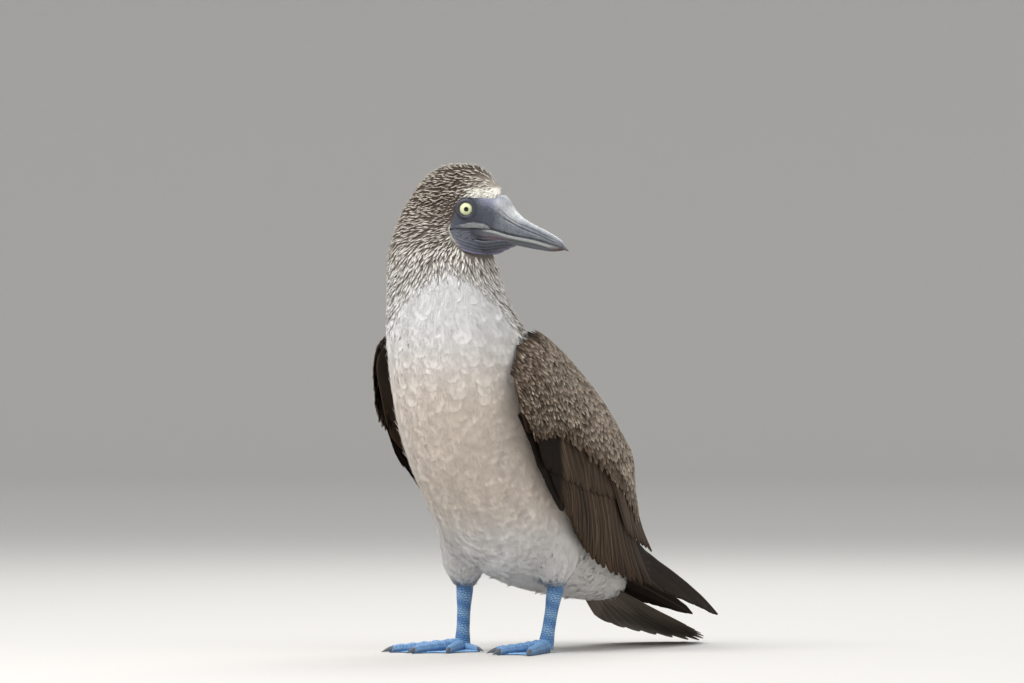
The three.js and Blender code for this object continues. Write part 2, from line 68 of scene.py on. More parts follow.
# Skin. One closed skin runs from the crown to the tail and down both thighs. It lies under the
# plumage and shows nowhere bare, so it is made plain: rings carried along the body, and two thigh
# forms, all run together in one even mesh.
BODY_ROWS = np.array(
    [
        # x, y, z of the ring's middle, tilt, reach left, right, back, front, pinch, squareness
        [20, -92, 466, 0, 1, 1, 1, 1, 0, 1],
        [18, -92, 464, 0, 24, 20, 10, 10, 0, 1],
        [10, -92, 455, 0, 48, 30, 17, 17, 0.1, 1],
        [4, -92, 440, 0, 67, 38, 23, 23, 0.35, 1],
        [2, -92, 421, 0, 65, 50, 27, 28, 0.48, 1],
        [0, -92, 404, 0, 61, 54, 36, 36, 0.55, 1],
        [-1, -93, 388, 0, 58, 56, 44, 44, 0.35, 1],
        [0, -94, 372, 0, 56, 57, 49, 49, 0.1, 1],
        [0, -88, 342, 0, 59, 59, 56, 56, 0, 1],
        [0, -76, 309, 4, 66, 66, 64, 66, 0, 0.97],
        [0, -64, 274, 16, 69, 69, 76, 74, 0, 0.92],
        [0, -48, 232, 28, 70, 70, 88, 80, 0, 0.88],
        [0, -18, 187, 38, 70, 70, 92, 84, 0, 0.86],
        [0, 16, 147, 46, 68, 68, 90, 83, 0, 0.86],
        [0, 50, 114, 55, 62, 62, 82, 61, 0, 0.88],
        [0, 90, 90, 62, 51, 51, 62, 43, 0, 0.92],
        [0, 125, 76, 68, 39, 39, 42, 32, 0, 0.95],
        [0, 155, 65, 72, 29, 29, 23, 22, 0, 1],
        [0, 177, 57, 75, 14, 14, 9, 9, 0, 1],
        [0, 182, 55, 75, 1, 1, 1, 1, 0, 1],
    ]
)
THIGH_ROWS = np.array(
    [
        # z, shift backwards, reach across, reach in depth
        [62, 0, 9, 10],
        [70, 0, 14, 16],
        [84, -1, 20, 24],
        [104, -2, 25, 32],
        [132, -6, 24, 36],
        [150, -10, 10, 12],
    ]
)
# Where each leg leaves the coat: x, y and its side.
ANKLES = {"left": (42, 27, 1), "right": (-42, -7, -1)}
COAT_DEPTH, THIGH_COAT_DEPTH = 2.4, 1.6
SKIN_STEP = 0.0021
BODY_RINGS, BODY_COLUMNS, THIGH_RINGS = 160, 120, 40
CREASE_ROUNDS = 40


def smooth(a, b, x):
    """0 below a, 1 above b, and an even S between them."""
    t = np.clip((x - a) / (b - a), 0, 1)
    return t * t * (3 - 2 * t)


def mix(a, b, t):
    """a where t is 0 and b where t is 1, with a straight run between."""
    return a + (b - a) * t


def through(rows, t):
    """The rows' values at t from 0 to 1, on a smooth curve through rows evenly spaced in t."""
    last = len(rows) - 1
    s = np.clip(t, 0, 1) * last
    i = np.minimum(s.astype(int), last - 1)
    f = (s - i)[..., None]
    a, b, c, d = rows[np.maximum(i - 1, 0)], rows[i], rows[i + 1], rows[np.minimum(i + 2, last)]
    return b + 0.5 * f * (c - a + f * (2 * a - 5 * b + 4 * c - d + f * (3 * (b - c) + d - a)))


def power(x, e):
    """x to the power e, keeping its sign."""
    return np.sign(x) * np.abs(x) ** e


def body_point(t, angle, grow=0.0):
    """A point of the body: a ring's middle, its reach across by the cosine and its depth by the sine, both
    made longer by grow. tilt leans the depth upwards, pinch thins the left side, square blunts the back."""
    x, y, z, tilt, left, right, rear, front, pinch, square = np.moveaxis(through(BODY_ROWS, t), -1, 0)
    c, s = np.cos(angle), np.sin(angle)
    lean = np.radians(tilt)
    edge = np.where(s > 0, square, 1)
    across = (np.where(c > 0, left, right) + grow) * power(c, edge)
    deep = (np.where(s > 0, rear, front) + grow) * power(s, edge) * (1 - pinch * np.maximum(c, 0))
    top = np.where(t < 0.02, grow, 0)
    return np.stack([x + across, y + deep * np.cos(lean), z + deep * np.sin(lean) + top], -1)


def thigh_point(t, angle, ankle, grow=0.0):
    """A point of a thigh: level rings that widen upwards and lean in to the body."""
    z, shift, across, deep = np.moveaxis(through(THIGH_ROWS, t), -1, 0)
    x = ankle[0] - ankle[2] * smooth(80, 150, z) * 8
    return np.stack(
        [x + (across + grow) * np.cos(angle), ankle[1] + shift + (deep + grow) * np.sin(angle), z], -1
    )


def ring_grid(low, high, rows, columns):
    """Even steps from low to high down a grid's rows, and even turns in radians round each row."""
    return np.meshgrid(np.linspace(low, high, rows), np.arange(columns) / columns * 2 * np.pi, indexing="ij")


def grid_faces(rows, columns):
    """The four corners of each face of a grid of points whose rows are closed rings."""
    i, j = np.meshgrid(np.arange(rows - 1), np.arange(columns), indexing="ij")
    start, end = i * columns + j, i * columns + (j + 1) % columns
    return np.stack([start, end, end + columns, start + columns], -1).reshape(-1, 4)


def end_fans(rows, columns):
    """The three-cornered faces that close a tube's ends, each drawn to one more point after the grid's."""
    j = np.arange(columns)
    k = (j + 1) % columns
    last = (rows - 1) * columns
    head = np.stack([np.full(columns, rows * columns), k, j], -1)
    foot = np.stack([np.full(columns, rows * columns + 1), last + j, last + k], -1)
    return np.concatenate([head, foot])


def capped(points):
    """A closed tube: a grid of rings, with its first and last rings drawn in to a middle point."""
    rows, columns = points.shape[:2]
    every = np.concatenate([points.reshape(-1, 3), [points[0].mean(0), points[-1].mean(0)]])
    return every, grid_faces(rows, columns), end_fans(rows, columns)


def set_tint(mesh, tint):
    """Stores a colour for each point of a mesh."""
    layer = mesh.color_attributes.new("tint", "FLOAT_COLOR", "POINT")
    rgba = np.concatenate([tint, np.ones((len(tint), 1))], 1)
    layer.data.foreach_set("color", rgba.astype(np.float32).ravel())


def new_mesh(name, points, quads, tris=None, tint=None, maps=None, facing=None):
    """A mesh object from arrays: points, four- and three-cornered faces, and by point a tint, UV maps and
    the way the surface is shaded as facing."""
    tris = np.zeros((0, 3), int) if tris is None else tris
    corners = np.concatenate([quads.ravel(), tris.ravel()]).astype(np.int32)
    sizes = np.concatenate([np.full(len(quads), 4), np.full(len(tris), 3)]).astype(np.int32)
    mesh = bpy.data.meshes.new(name)
    mesh.vertices.add(len(points))
    mesh.vertices.foreach_set("co", np.asarray(points, np.float32).ravel())
    mesh.loops.add(len(corners))
    mesh.loops.foreach_set("vertex_index", corners)
    mesh.polygons.add(len(sizes))
    mesh.polygons.foreach_set("loop_start", np.concatenate([[0], np.cumsum(sizes)[:-1]]).astype(np.int32))
    mesh.polygons.foreach_set("loop_total", sizes)
    mesh.update(calc_edges=True)
    mesh.polygons.foreach_set("use_smooth", np.ones(len(sizes), bool))
    if tint is not None:
        set_tint(mesh, tint)
    for key, at in (maps or {}).items():
        layer = mesh.uv_layers.new(name=key)
        layer.data.foreach_set("uv", at[corners].astype(np.float32).ravel())
    if facing is not None:
        mesh.normals_split_custom_set_from_vertices(facing.astype(np.float32))
    piece = bpy.data.objects.new(name, mesh)
    bpy.context.collection.objects.link(piece)
    return piece


def outward(points, quads, tris):
    """The faces turned, if need be, so that the closed shape they bound has a positive volume."""
    every = np.concatenate([quads[:, [0, 1, 2]], quads[:, [0, 2, 3]], tris])
    a, b, c = (points[every[:, k]] for k in range(3))
    if np.einsum("ij,ij->", a, np.cross(b, c)) < 0:
        return quads[:, ::-1], tris[:, ::-1]
    return quads, tris


def joined_shapes(shapes):
    """Several closed shapes, each (points, quads, tris), as one list of points and faces."""
    points, quads, tris, start = [], [], [], 0
    for p, q, t in shapes:
        q, t = outward(p, q, t)
        points.append(p)
        quads.append(q + start)
        tris.append(t + start)
        start += len(p)
    return np.concatenate(points), np.concatenate(quads), np.concatenate(tris)


def tinted_material(name, rough, grain, relief, sheen=0.0, coat=0.0, vary=0.12, specular=0.5):
    """A finish that takes its colour from the piece's own tint. Even noise of scale grain lightens and
    darkens it by the share vary, and raises bumps of relief metres."""
    material = bpy.data.materials.new(name)
    material.use_nodes = True
    nodes, links = material.node_tree.nodes, material.node_tree.links
    shader = nodes["Principled BSDF"]
    kinds = ("Attribute", "TexCoord", "TexNoise", "MapRange", "VectorMath", "Bump")
    tint, where, noise, level, scale, bump = (nodes.new(f"ShaderNode{kind}") for kind in kinds)
    tint.attribute_name = "tint"
    scale.operation = "SCALE"
    for node, values in (
        (shader, {"Roughness": rough, "Specular IOR Level": specular, "Sheen Weight": sheen}),
        (shader, {"Sheen Roughness": 0.6, "Coat Weight": coat, "Coat Roughness": 0.04}),
        (noise, {"Scale": grain, "Detail": 3.0, "Roughness": 0.5}),
        (level, {"To Min": 1 - vary, "To Max": 1 + vary}),
        (bump, {"Strength": 1.0, "Distance": relief}),
    ):
        for key, value in values.items():
            node.inputs[key].default_value = value
    for start, end in (
        (where.outputs["Object"], noise.inputs["Vector"]),
        (noise.outputs["Fac"], level.inputs["Value"]),
        (tint.outputs["Color"], scale.inputs["Vector"]),
        (level.outputs["Result"], scale.inputs["Scale"]),
        (scale.outputs["Vector"], shader.inputs["Base Color"]),
        (noise.outputs["Fac"], bump.inputs["Height"]),
        (bump.outputs["Normal"], shader.inputs["Normal"]),
    ):
        links.new(start, end)
    return material


def rides(piece, finish, slot_name, *nodes):
    """Gives a piece its finish and tells the frame what it rides on and which solids it stands for."""
    piece.data.materials.clear()
    piece.data.materials.append(finish)
    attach(piece, "root")
    if nodes:
        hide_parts(*nodes)


loft_t, loft_angle = ring_grid(0.004, 0.996, BODY_RINGS, BODY_COLUMNS)
body_forms = [capped(placed(body_point(loft_t, loft_angle, -COAT_DEPTH)))]
for ankle in ANKLES.values():
    thigh_grid = thigh_point(*ring_grid(0.02, 0.98, THIGH_RINGS, THIGH_RINGS), ankle, -THIGH_COAT_DEPTH)
    body_forms.append(capped(placed(thigh_grid)))
rough_skin = new_mesh("rough_skin", *joined_shapes(body_forms))
remesh = rough_skin.modifiers.new("even", "REMESH")
remesh.mode = "VOXEL"
remesh.voxel_size = SKIN_STEP
remesh.use_smooth_shade = True
settle = rough_skin.modifiers.new("settle", "SMOOTH")
settle.factor = 0.5
settle.iterations = 12
skin_mesh = bpy.data.meshes.new_from_object(rough_skin.evaluated_get(bpy.context.evaluated_depsgraph_get()))
bpy.data.objects.remove(rough_skin)
skin = bpy.data.objects.new("skin", skin_mesh)
bpy.context.collection.objects.link(skin)
skin_points = np.zeros(len(skin_mesh.vertices) * 3)
skin_mesh.vertices.foreach_get("co", skin_points)
skin_points = skin_points.reshape(-1, 3) / MM - STAND
skin_mesh.calc_loop_triangles()
skin_tris = np.zeros(len(skin_mesh.loop_triangles) * 3, np.int32)
skin_mesh.loop_triangles.foreach_get("vertices", skin_tris)
skin_tris = skin_tris.reshape(-1, 3)

# Where the thighs meet the belly the skin is evened: each point is drawn to the mean of those beside it.
ends = np.concatenate([skin_tris[:, [0, 1]], skin_tris[:, [1, 2]], skin_tris[:, [2, 0]]])
ends = np.concatenate([ends, ends[:, ::-1]])
beside = np.bincount(ends[:, 0], minlength=len(skin_points))[:, None]
filled = (smooth(84, 94, skin_points[:, 2]) * smooth(170, 140, skin_points[:, 2]))[:, None]
for _ in range(CREASE_ROUNDS):
    around = [np.bincount(ends[:, 0], skin_points[ends[:, 1], k], len(skin_points)) for k in range(3)]
    skin_points = mix(skin_points, np.stack(around, -1) / beside, filled)
skin_mesh.vertices.foreach_set("co", placed(skin_points).astype(np.float32).ravel())
skin_mesh.update()
skin_tree = BVHTree.FromPolygons(skin_points.tolist(), skin_tris.tolist())

# The nearest place on the plain rings tells how far along and round the body a point of the skin lies.
ring_points = body_point(loft_t, loft_angle).reshape(-1, 3)
ring_tree = KDTree(len(ring_points))
for number, point in enumerate(ring_points):
    ring_tree.insert(point, number)
ring_tree.balance()


def ring_place(points):
    """For each point, how far along the body it lies (0 to 1) and its angle round it."""
    number = np.array([ring_tree.find(p)[1] for p in points])
    return loft_t.ravel()[number], loft_angle.ravel()[number]


def head_place(points):
    """Bird points in the head's own frame, from the eyes' middle: forward along the bill, right, and up."""
    away = points - EYE_MIDDLE
    return away @ FORWARD, away @ SIDE, away @ UP


# Face border. The edge between the bare face and the feathers, as (height, how far forward it lies)
# from the middle of the eyes.
FACE_BORDER = [(-38.2, 15), (-37, 11), (-34, 5), (-30, -2), (-22.5, -9.5), (-10, -10.8), (0, -10.6)]
FACE_BORDER += [(7, -8.6), (10.2, -3.5), (11.4, 4.4), (14.7, 15), (18.6, 27), (19.6, 33)]


def face_edge(u):
    """How far forward the bare face begins at height u."""
    heights, starts = np.array(FACE_BORDER).T
    return np.where((u < heights[0]) | (u > heights[-1]), 99, np.interp(u, heights, starts))


def bare_depth(points):
    """How many millimetres a point lies inside the bare face; less than zero among the feathers."""
    f, _, u = head_place(points)
    return f - face_edge(u)


# Plumage colours. Dark feathers with cream tips on the head and neck, white ones on the breast and
# belly, grey ones round the tops of the legs, brown ones on the back and pale ones on the rump.
def colour(code):
    """A web colour as linear light."""
    rgb = np.array([int(code[i : i + 2], 16) for i in (0, 2, 4)]) / 255
    return np.where(rgb < 0.04045, rgb / 12.92, ((rgb + 0.055) / 1.055) ** 2.4)


DARK_STREAK = colour("43372d")
CREAM_TIP = colour("ddd2c4")
FOREHEAD_WHITE = colour("f2eee2")
BREAST_WHITE = colour("eae9e8")
# The belly's white, warmed by painted reflected light.
BELLY_WHITE_WARM_BOUNCE = colour("dacdc0")
VENT_WHITE = colour("e6e3e0")
FRINGE_GREY = colour("75879e")
MANTLE_BROWN = colour("4a3e33")
MANTLE_TIP = colour("9a8b79")
RUMP_PALE = colour("dcd6cc")


def bib(points):
    """1 where the neck and breast are white, 0 where they are streaked: a bib that widens downwards."""
    x, y, z = points.T
    turn = np.degrees(np.arctan2(x, -(y + 90)))
    middle = np.interp(z, [262, 300, 326, 366], [0, 22, 40, 40])
    half = np.interp(z, [255, 285, 302, 326, 345, 362, 374], [128, 112, 92, 62, 44, 20, -12])
    return np.maximum(smooth(-14, 12, half - np.abs(turn - middle)), smooth(268, 244, z))


def on_back(t, angle):
    """1 on the brown back between the wings and 0 elsewhere, by how far along the body a place lies and its
    angle round it."""
    return smooth(-0.1, 0.12, np.sin(angle)) * smooth(0.46, 0.54, t) * smooth(0.9, 0.8, t)


def plumage(points, t, angle):
    """The colour of a feather's base and of its tip at each place on the body."""
    x, y, z = points.T
    f, _, u = head_place(points)
    white = bib(points)[:, None]
    # Lower on the body the white turns darker and warmer than the breast's; the warmth is painted warm
    # reflected light.
    snow = mix(BREAST_WHITE, BELLY_WHITE_WARM_BOUNCE, smooth(330, 240, z)[:, None])
    snow = mix(snow, VENT_WHITE, smooth(160, 100, z)[:, None])
    pale = smooth(440, 320, z)[:, None]
    base = mix(mix(DARK_STREAK, CREAM_TIP * 0.4, pale), snow * 0.98, white)
    tip = mix(mix(CREAM_TIP * 0.9, BREAST_WHITE, pale), snow, white)
    fringe = sum(smooth(22, 15, np.hypot(x - ankle[0], y - ankle[1])) for ankle in ANKLES.values())
    fringe = (np.minimum(fringe, 1) * smooth(78, 68, z))[:, None]
    base, tip = mix(base, FRINGE_GREY * 0.7, fringe), mix(tip, FRINGE_GREY, fringe)
    above = u - np.interp(f, [-12, -3.5, 4.4, 15, 27, 33], [11, 10.5, 11.4, 14.7, 18.6, 19.6])
    brow = (smooth(-7, 3, f) * smooth(10.5, 7, above) * smooth(-5, -1, above) * (f < 46))[:, None]
    hoary = 0.6 * smooth(-16, 12, f) * smooth(30, 10, above) * smooth(-5, -1, above) * (f < 50)
    hoary = hoary[:, None]
    base, tip = mix(base, CREAM_TIP * 0.75, hoary), mix(tip, FOREHEAD_WHITE, hoary)
    base, tip = mix(base, FOREHEAD_WHITE * 0.9, brow), mix(tip, FOREHEAD_WHITE, brow)
    chin = smooth(2.2, 0.6, np.abs(bare_depth(points) + 0.4)) * smooth(-14, -22, u) * smooth(-42, -39, u)
    chin = chin[:, None]
    base, tip = mix(base, FOREHEAD_WHITE * 0.7, chin * 0.6), mix(tip, FOREHEAD_WHITE * 0.9, chin * 0.6)
    back = on_back(t, angle)
    nape = smooth(0.1, 0.4, np.sin(angle)) * smooth(0.54, 0.46, t) * smooth(0.38, 0.46, t)
    rump = smooth(0.1, 0.4, np.sin(angle)) * smooth(0.76, 0.86, t)
    for cover, dark, light in (
        (nape, DARK_STREAK, RUMP_PALE),
        (back, MANTLE_BROWN, MANTLE_TIP),
        (rump, RUMP_PALE * 0.8, RUMP_PALE),
    ):
        base = mix(base, dark, cover[:, None])
        tip = mix(tip, light, cover[:, None])
    return base, tip


skin_t, skin_angle = ring_place(skin_points)
skin_base, skin_tip = plumage(skin_points, skin_t, skin_angle)
white_coat = smooth(0.3, 0.8, skin_base.mean(1) / skin_tip.mean(1))[:, None]
skin_tint = mix(skin_base * 0.8, skin_tip, 0.5 * white_coat)
set_tint(skin_mesh, skin_tint)
downy_skin = tinted_material("downy skin", 0.9, 260, 0.0006)
rides(skin, downy_skin, "white_plumage", "head", "neck", "torso", "thigh_left", "thigh_right")

# Body plumage. Thousands of small feathers lie over the skin like tiles, each rooted under the tip
# of the one before it: short pointed hackles on the head and neck, brown scales on the back, and
# broad soft feathers with loose down over them on the breast and belly.
draws = np.random.default_rng(20)
SCATTER_TRIES = 240000
BAKE_SPAN = 0.003
TUFT_BLADES, BARB_HALF = 9, 0.22
MOUND_SHADE, MOST_BENT = 0.45, 0.4


def scattered(spacing_of, tries):
    """Even random places on the skin: a try is kept if no kept one lies nearer than its own spacing."""
    a, b, c = (skin_points[skin_tris[:, k]] for k in range(3))
    area = np.linalg.norm(np.cross(b - a, c - a), axis=1)
    pick = draws.choice(len(area), tries, p=area / area.sum())
    u, v = draws.random((2, tries, 1))
    over = u + v > 1
    u, v = np.where(over, 1 - u, u), np.where(over, 1 - v, v)
    points = a[pick] + u * (b - a)[pick] + v * (c - a)[pick]
    spacing = spacing_of(points)
    cell = float(spacing.max())
    kept, cells = [], {}
    keys = np.floor(points / cell).astype(int)
    near = [(i, j, k) for i in (-1, 0, 1) for j in (-1, 0, 1) for k in (-1, 0, 1)]
    for n, (p, gap, key) in enumerate(zip(points.tolist(), spacing.tolist(), keys.tolist())):
        if gap <= 0:
            continue
        free = True
        for i, j, k in near:
            for q in cells.get((key[0] + i, key[1] + j, key[2] + k), ()):
                if (p[0] - q[0]) ** 2 + (p[1] - q[1]) ** 2 + (p[2] - q[2]) ** 2 < gap * gap:
                    free = False
                    break
            if not free:
                break
        if free:
            cells.setdefault(tuple(key), []).append(p)
            kept.append(n)
    return points[kept]


def unit(v):
    """Vectors brought to length 1."""
    return v / np.maximum(np.linalg.norm(v, axis=-1, keepdims=True), 1e-9)


faces = np.cross(
    skin_points[skin_tris[:, 1]] - skin_points[skin_tris[:, 0]],
    skin_points[skin_tris[:, 2]] - skin_points[skin_tris[:, 0]],
)
skin_out = np.zeros_like(skin_points)
for corner in range(3):
    np.add.at(skin_out, skin_tris[:, corner], faces)
skin_out = unit(skin_out)
for _ in range(4):
    spread_out = np.zeros_like(skin_out)
    for corner in range(3):
        np.add.at(spread_out, skin_tris[:, corner], skin_out[skin_tris].mean(1))
    skin_out = unit(spread_out)


def on_skin(points):
    """The nearest place on the skin to each point, with the skin's outward direction there, evened out over
    the points around it."""
    found = [skin_tree.find_nearest(Vector(p)) for p in points]
    return np.array([f[0] for f in found]), unit(skin_out[skin_tris[[f[2] for f in found]]].mean(1))


def mounds(points):
    """Soft mounds of the white coat: their height from -1 to 1, as the product of the sines of two crossed
    waves a and b, and its slope along x, y and z."""
    x, y, z = np.moveaxis(points, -1, 0)
    a, b = 0.46 * (x + 0.5 * y) + 2 * np.sin(0.13 * z), 0.5 * z + 1.6 * np.sin(0.21 * (x - y))
    turn = 0.336 * np.cos(0.21 * (x - y)) * np.sin(a) * np.cos(b)
    rise = np.cos(a) * np.sin(b)
    slope_z = 0.26 * np.cos(0.13 * z) * rise + 0.5 * np.sin(a) * np.cos(b)
    return np.sin(a) * np.sin(b), np.stack([0.46 * rise + turn, 0.23 * rise - turn, slope_z], -1)


def soft_facing(points, out, puff):
    """The way the coat is shaded as facing: out of the skin, tipped by the slope of the mounds."""
    slope = mounds(points)[1]
    slope = slope - out * (slope * out).sum(-1, keepdims=True)
    facing = unit(unit(out) - MOUND_SHADE * puff * slope)
    return unit(placed(facing) - placed(np.zeros(3)))


def lie(points, t):
    """The way the coat lies: back from the bill on the head, then down the neck and on towards the tail."""
    x, y, z = points.T
    tilt = np.radians(np.interp(t, np.linspace(0, 1, len(BODY_ROWS)), BODY_ROWS[:, 3]))
    down = np.stack([np.zeros_like(t), np.sin(tilt), -np.cos(tilt)], -1)
    back = np.array([-1.0, 0.0, -0.3])
    turn = np.arctan2(x, -(y + 90)) - np.radians(np.interp(z, [262, 300, 326, 366], [0, 22, 40, 40]))
    around = unit(np.stack([-(y + 90), x, 0 * z], -1))
    aside = np.clip(turn, -1, 1) * smooth(2.4, 1.6, np.abs(turn))
    aside = aside * smooth(396, 366, z) * smooth(256, 296, z)
    down = down + around * (0.75 * aside + 0.12 * np.sin(0.16 * z + 2 * turn))[:, None]
    head = smooth(376, 416, z)[:, None]
    way = mix(down, back, head)
    for ankle in ANKLES.values():
        near = smooth(34, 16, np.hypot(x - ankle[0], y - ankle[1] + 2)) * smooth(116, 84, z)
        way = mix(way, np.array([0.0, 0.1, -1.0]), near[:, None])
    return way


def lenses(name, corners, ends, shades, end_shades, stations, bake, facing=None):
    """Many small feathers as one closed mesh. Each is a lens: at every inner station it has a left, top,
    right and bottom corner, and it ends in a point at its root and its tip. corners and shades hold
    (feather, station, corner, 3), and ends and end_shades (feather, 2, 3)."""
    count, rings = corners.shape[:2]
    points = np.concatenate([corners.reshape(count, -1, 3), ends], 1)
    tint = np.concatenate([shades.reshape(count, -1, 3), end_shades], 1)
    along = np.asarray(stations)[1:-1] - 0.5
    at = np.stack([np.tile([-0.5, 0, 0.5, 0], rings), np.repeat(along, 4)], -1)
    bakes = bake[:, None] + np.concatenate([at, [[0, -0.5], [0, 0.5]]]) * BAKE_SPAN
    quads, tris = outward(points[0], grid_faces(rings, 4), end_fans(rings, 4))
    start = np.arange(count)[:, None, None] * points.shape[1]
    return new_mesh(
        name,
        placed(points.reshape(-1, 3)),
        (quads + start).reshape(-1, 4),
        (tris + start).reshape(-1, 3),
        np.clip(tint, 0, 1).reshape(-1, 3),
        {"OFBake": bakes.reshape(-1, 2)},
        facing,
    )


def laid(roots, length, stations, lift, spread, puff, twist):
    """Lines laid over the skin from their roots: each is a bow through the skin's places under its root,
    middle and tip, raised from the first height of lift to the second. puff raises and lowers them in soft
    mounds, spread strays their direction and twist their flat side, both in radians."""
    count = len(roots)
    t, angle = ring_place(roots)
    _, normal = on_skin(roots)
    way = lie(roots, t)
    way = unit(way - normal * (way * normal).sum(1, keepdims=True))
    stray = draws.normal(0, spread, (count, 1))
    way = way * np.cos(stray) + np.cross(normal, way) * np.sin(stray)
    middle, middle_out = on_skin(roots + way * length[:, None] * 0.5)
    tip, tip_out = on_skin(roots + way * length[:, None])
    s = np.asarray(stations)[None, :, None]
    bend = (2 * middle - (roots + tip) / 2)[:, None]
    line = roots[:, None] * (1 - s) ** 2 + bend * 2 * s * (1 - s) + tip[:, None] * s * s
    out = normal[:, None] * (1 - s) ** 2 + middle_out[:, None] * 2 * s * (1 - s) + tip_out[:, None] * s * s
    out = unit(out)
    low, high, puff = (np.reshape(value, (-1, 1)) for value in (*lift, puff))
    raised = mix(low, high, np.asarray(stations)[None] ** 1.3) * (1 + draws.normal(0, 0.18, (count, 1)))
    line = line + out * (raised + puff * mounds(roots)[0][:, None])[:, :, None]
    across = unit(np.cross(out, unit(tip - roots)[:, None] + 0 * out))
    across = unit(across + out * draws.normal(0, twist, (count, 1, 1)))
    return line, out, across, t, angle


def bake_place(t, angle):
    """Where a root lies on the flat spread of the skin: round the body across, and along the body up."""
    return np.stack([np.clip(angle / (2 * np.pi), 0.004, 0.996), np.clip(t, 0.004, 0.996)], -1)


def bent_across(line, across, width):
    """How far the skin's outward direction turns from a feather's middle to its edge, at most MOST_BENT."""
    edge = across[:, 1] * (width[:, None] / 2)
    middle = line[:, line.shape[1] // 2]
    bent = (on_skin(middle + edge)[1] - on_skin(middle - edge)[1]) / 2
    return bent / np.maximum(np.linalg.norm(bent, axis=1, keepdims=True) / MOST_BENT, 1)


def coat(
    name, roots, length, width, stations, profile, lift, spread, blend, darken, rim=0.0, puff=0.0, twist=0.16,
    arch=0.25, soft=False
):
    """Feathers laid on the skin from their roots. profile is the half width at each station as a share of
    width, spread the stray of their direction in radians, blend the stations between which base colour gives
    way to tip colour, darken how much they differ in lightness, rim how far their edges keep the base colour,
    and arch how far they bulge for their width. soft ones are shaded as one even coat."""
    count = len(roots)
    line, out, across, t, angle = laid(roots, length, stations, lift, spread, puff, twist)
    half = (width[:, None] * 0.5 * np.asarray(profile)[None])[..., None]
    base, end = plumage(roots, t, angle)
    own = 1 + draws.normal(0, darken, (count, 1, 1))
    fade = smooth(blend[0], blend[1], np.asarray(stations))[None, :, None]
    tint = mix(base[:, None], end[:, None], fade) * own
    # Edges run towards the base colour, a tenth darker: partly the feathers' own dark bases, partly painted
    # shade in the gaps between feathers.
    edge = mix(tint, base[:, None] * 0.9, rim)
    facing = None
    if soft:
        bent = bent_across(line, across, width)[:, None]
        tipped = out + draws.normal(0, 0.035, (count, 1, 3))
        sides = np.stack([tipped - bent, tipped, tipped + bent, tipped], 2)
        places = line[:, :, None] + across[:, :, None] * (half[:, :, None] * np.array([-1, 0, 1, 0])[:, None])
        facing = soft_facing(places, sides, np.reshape(puff, (-1, 1, 1, 1)))
        inner = facing[:, 1:-1].reshape(count, -1, 3)
        facing = np.concatenate([inner, facing[:, [0, -1], 0]], 1).reshape(-1, 3)
    reach, low, high = across * half, out * half * arch * 0.6, out * (half * arch * 0.4 + 0.05)
    corners = np.stack([line - reach - low, line + high, line + reach - low, line - high], 2)[:, 1:-1]
    shades = np.stack([edge, tint, edge, edge], 2)[:, 1:-1]
    ends = line[:, [0, -1]]
    return lenses(name, corners, ends, shades, tint[:, [0, -1]], stations, bake_place(t, angle), facing)


def down_tufts(name, roots, length, width, lift, spread, puff):
    """Tufts of fine barbs. Each tuft is a fan of thin blades on one line laid over the skin. Each blade
    has a root, three points round its middle, and a tip that strays a little from its neighbours."""
    line, out, across, t, angle = laid(roots, length, (0, 0.5, 1), lift, spread, puff, twist=0.02)
    count, blades, thick = len(roots), TUFT_BLADES, BARB_HALF
    fan = np.linspace(-1, 1, blades)[None, :, None]
    wide = width[:, None, None] / 2
    stray = draws.normal(0, 0.12, (3, count, blades, 1)) * wide
    reach = 1 - 0.3 * fan**2 + draws.normal(0, 0.1, (count, blades, 1))
    root = line[:, :1] + across[:, :1] * (0.2 * wide * fan)
    middle = line[:, 1:2] + across[:, 1:2] * (0.62 * wide * fan + stray[0])
    tip = mix(line[:, 1:2], line[:, 2:], reach) + across[:, 2:] * (0.95 * wide * fan + stray[1])
    tip = tip + out[:, 2:] * stray[2] * 1.2
    barb, up = across[:, 1:2] * thick, out[:, 1:2] * thick / 2
    points = np.stack([root, middle - barb, middle + up, middle + barb, tip], 2)
    base, end = plumage(roots, t, angle)
    own = 1 + draws.normal(0, 0.02, (count, blades, 1))
    shade = [mix(base, end, k)[:, None] * own for k in (0.3, 0.8, 0.8, 0.8, 1.0)]
    along = np.array([-0.5, 0, 0, 0, 0.5])[:, None]
    at = np.stack(np.broadcast_arrays(fan[..., None] / 2, along), -1)
    bakes = bake_place(t, angle)[:, None, None] + at.reshape(1, blades, 5, 2) * BAKE_SPAN
    tris = np.array([[0, 1, 2], [0, 2, 3], [0, 3, 1], [4, 2, 1], [4, 3, 2], [4, 1, 3]])
    _, tris = outward(points[0, 0], np.zeros((0, 4), int), tris)
    start = np.arange(count * blades)[:, None, None] * 5
    bent = (bent_across(line, across, width)[:, None] * fan)[:, :, None]
    tipped = (out + draws.normal(0, 0.04, (count, 1, 3)))[:, None, [0, 1, 1, 1, 2]]
    facing = soft_facing(points, tipped + bent, np.reshape(puff, (-1, 1, 1, 1)))
    return new_mesh(
        name,
        placed(points.reshape(-1, 3)),
        np.zeros((0, 4), int),
        (tris[None] + start).reshape(-1, 3),
        np.clip(np.stack(shade, 2), 0, 1).reshape(-1, 3),
        {"OFBake": bakes.reshape(-1, 2)},
        facing.reshape(-1, 3),
    )


def leg_distance(points):
    """How far, level, a point lies from the nearer leg's own line."""
    x, y, _ = points.T
    return np.min([np.hypot(x - ankle[0], y - ankle[1]) for ankle in ANKLES.values()], 0)


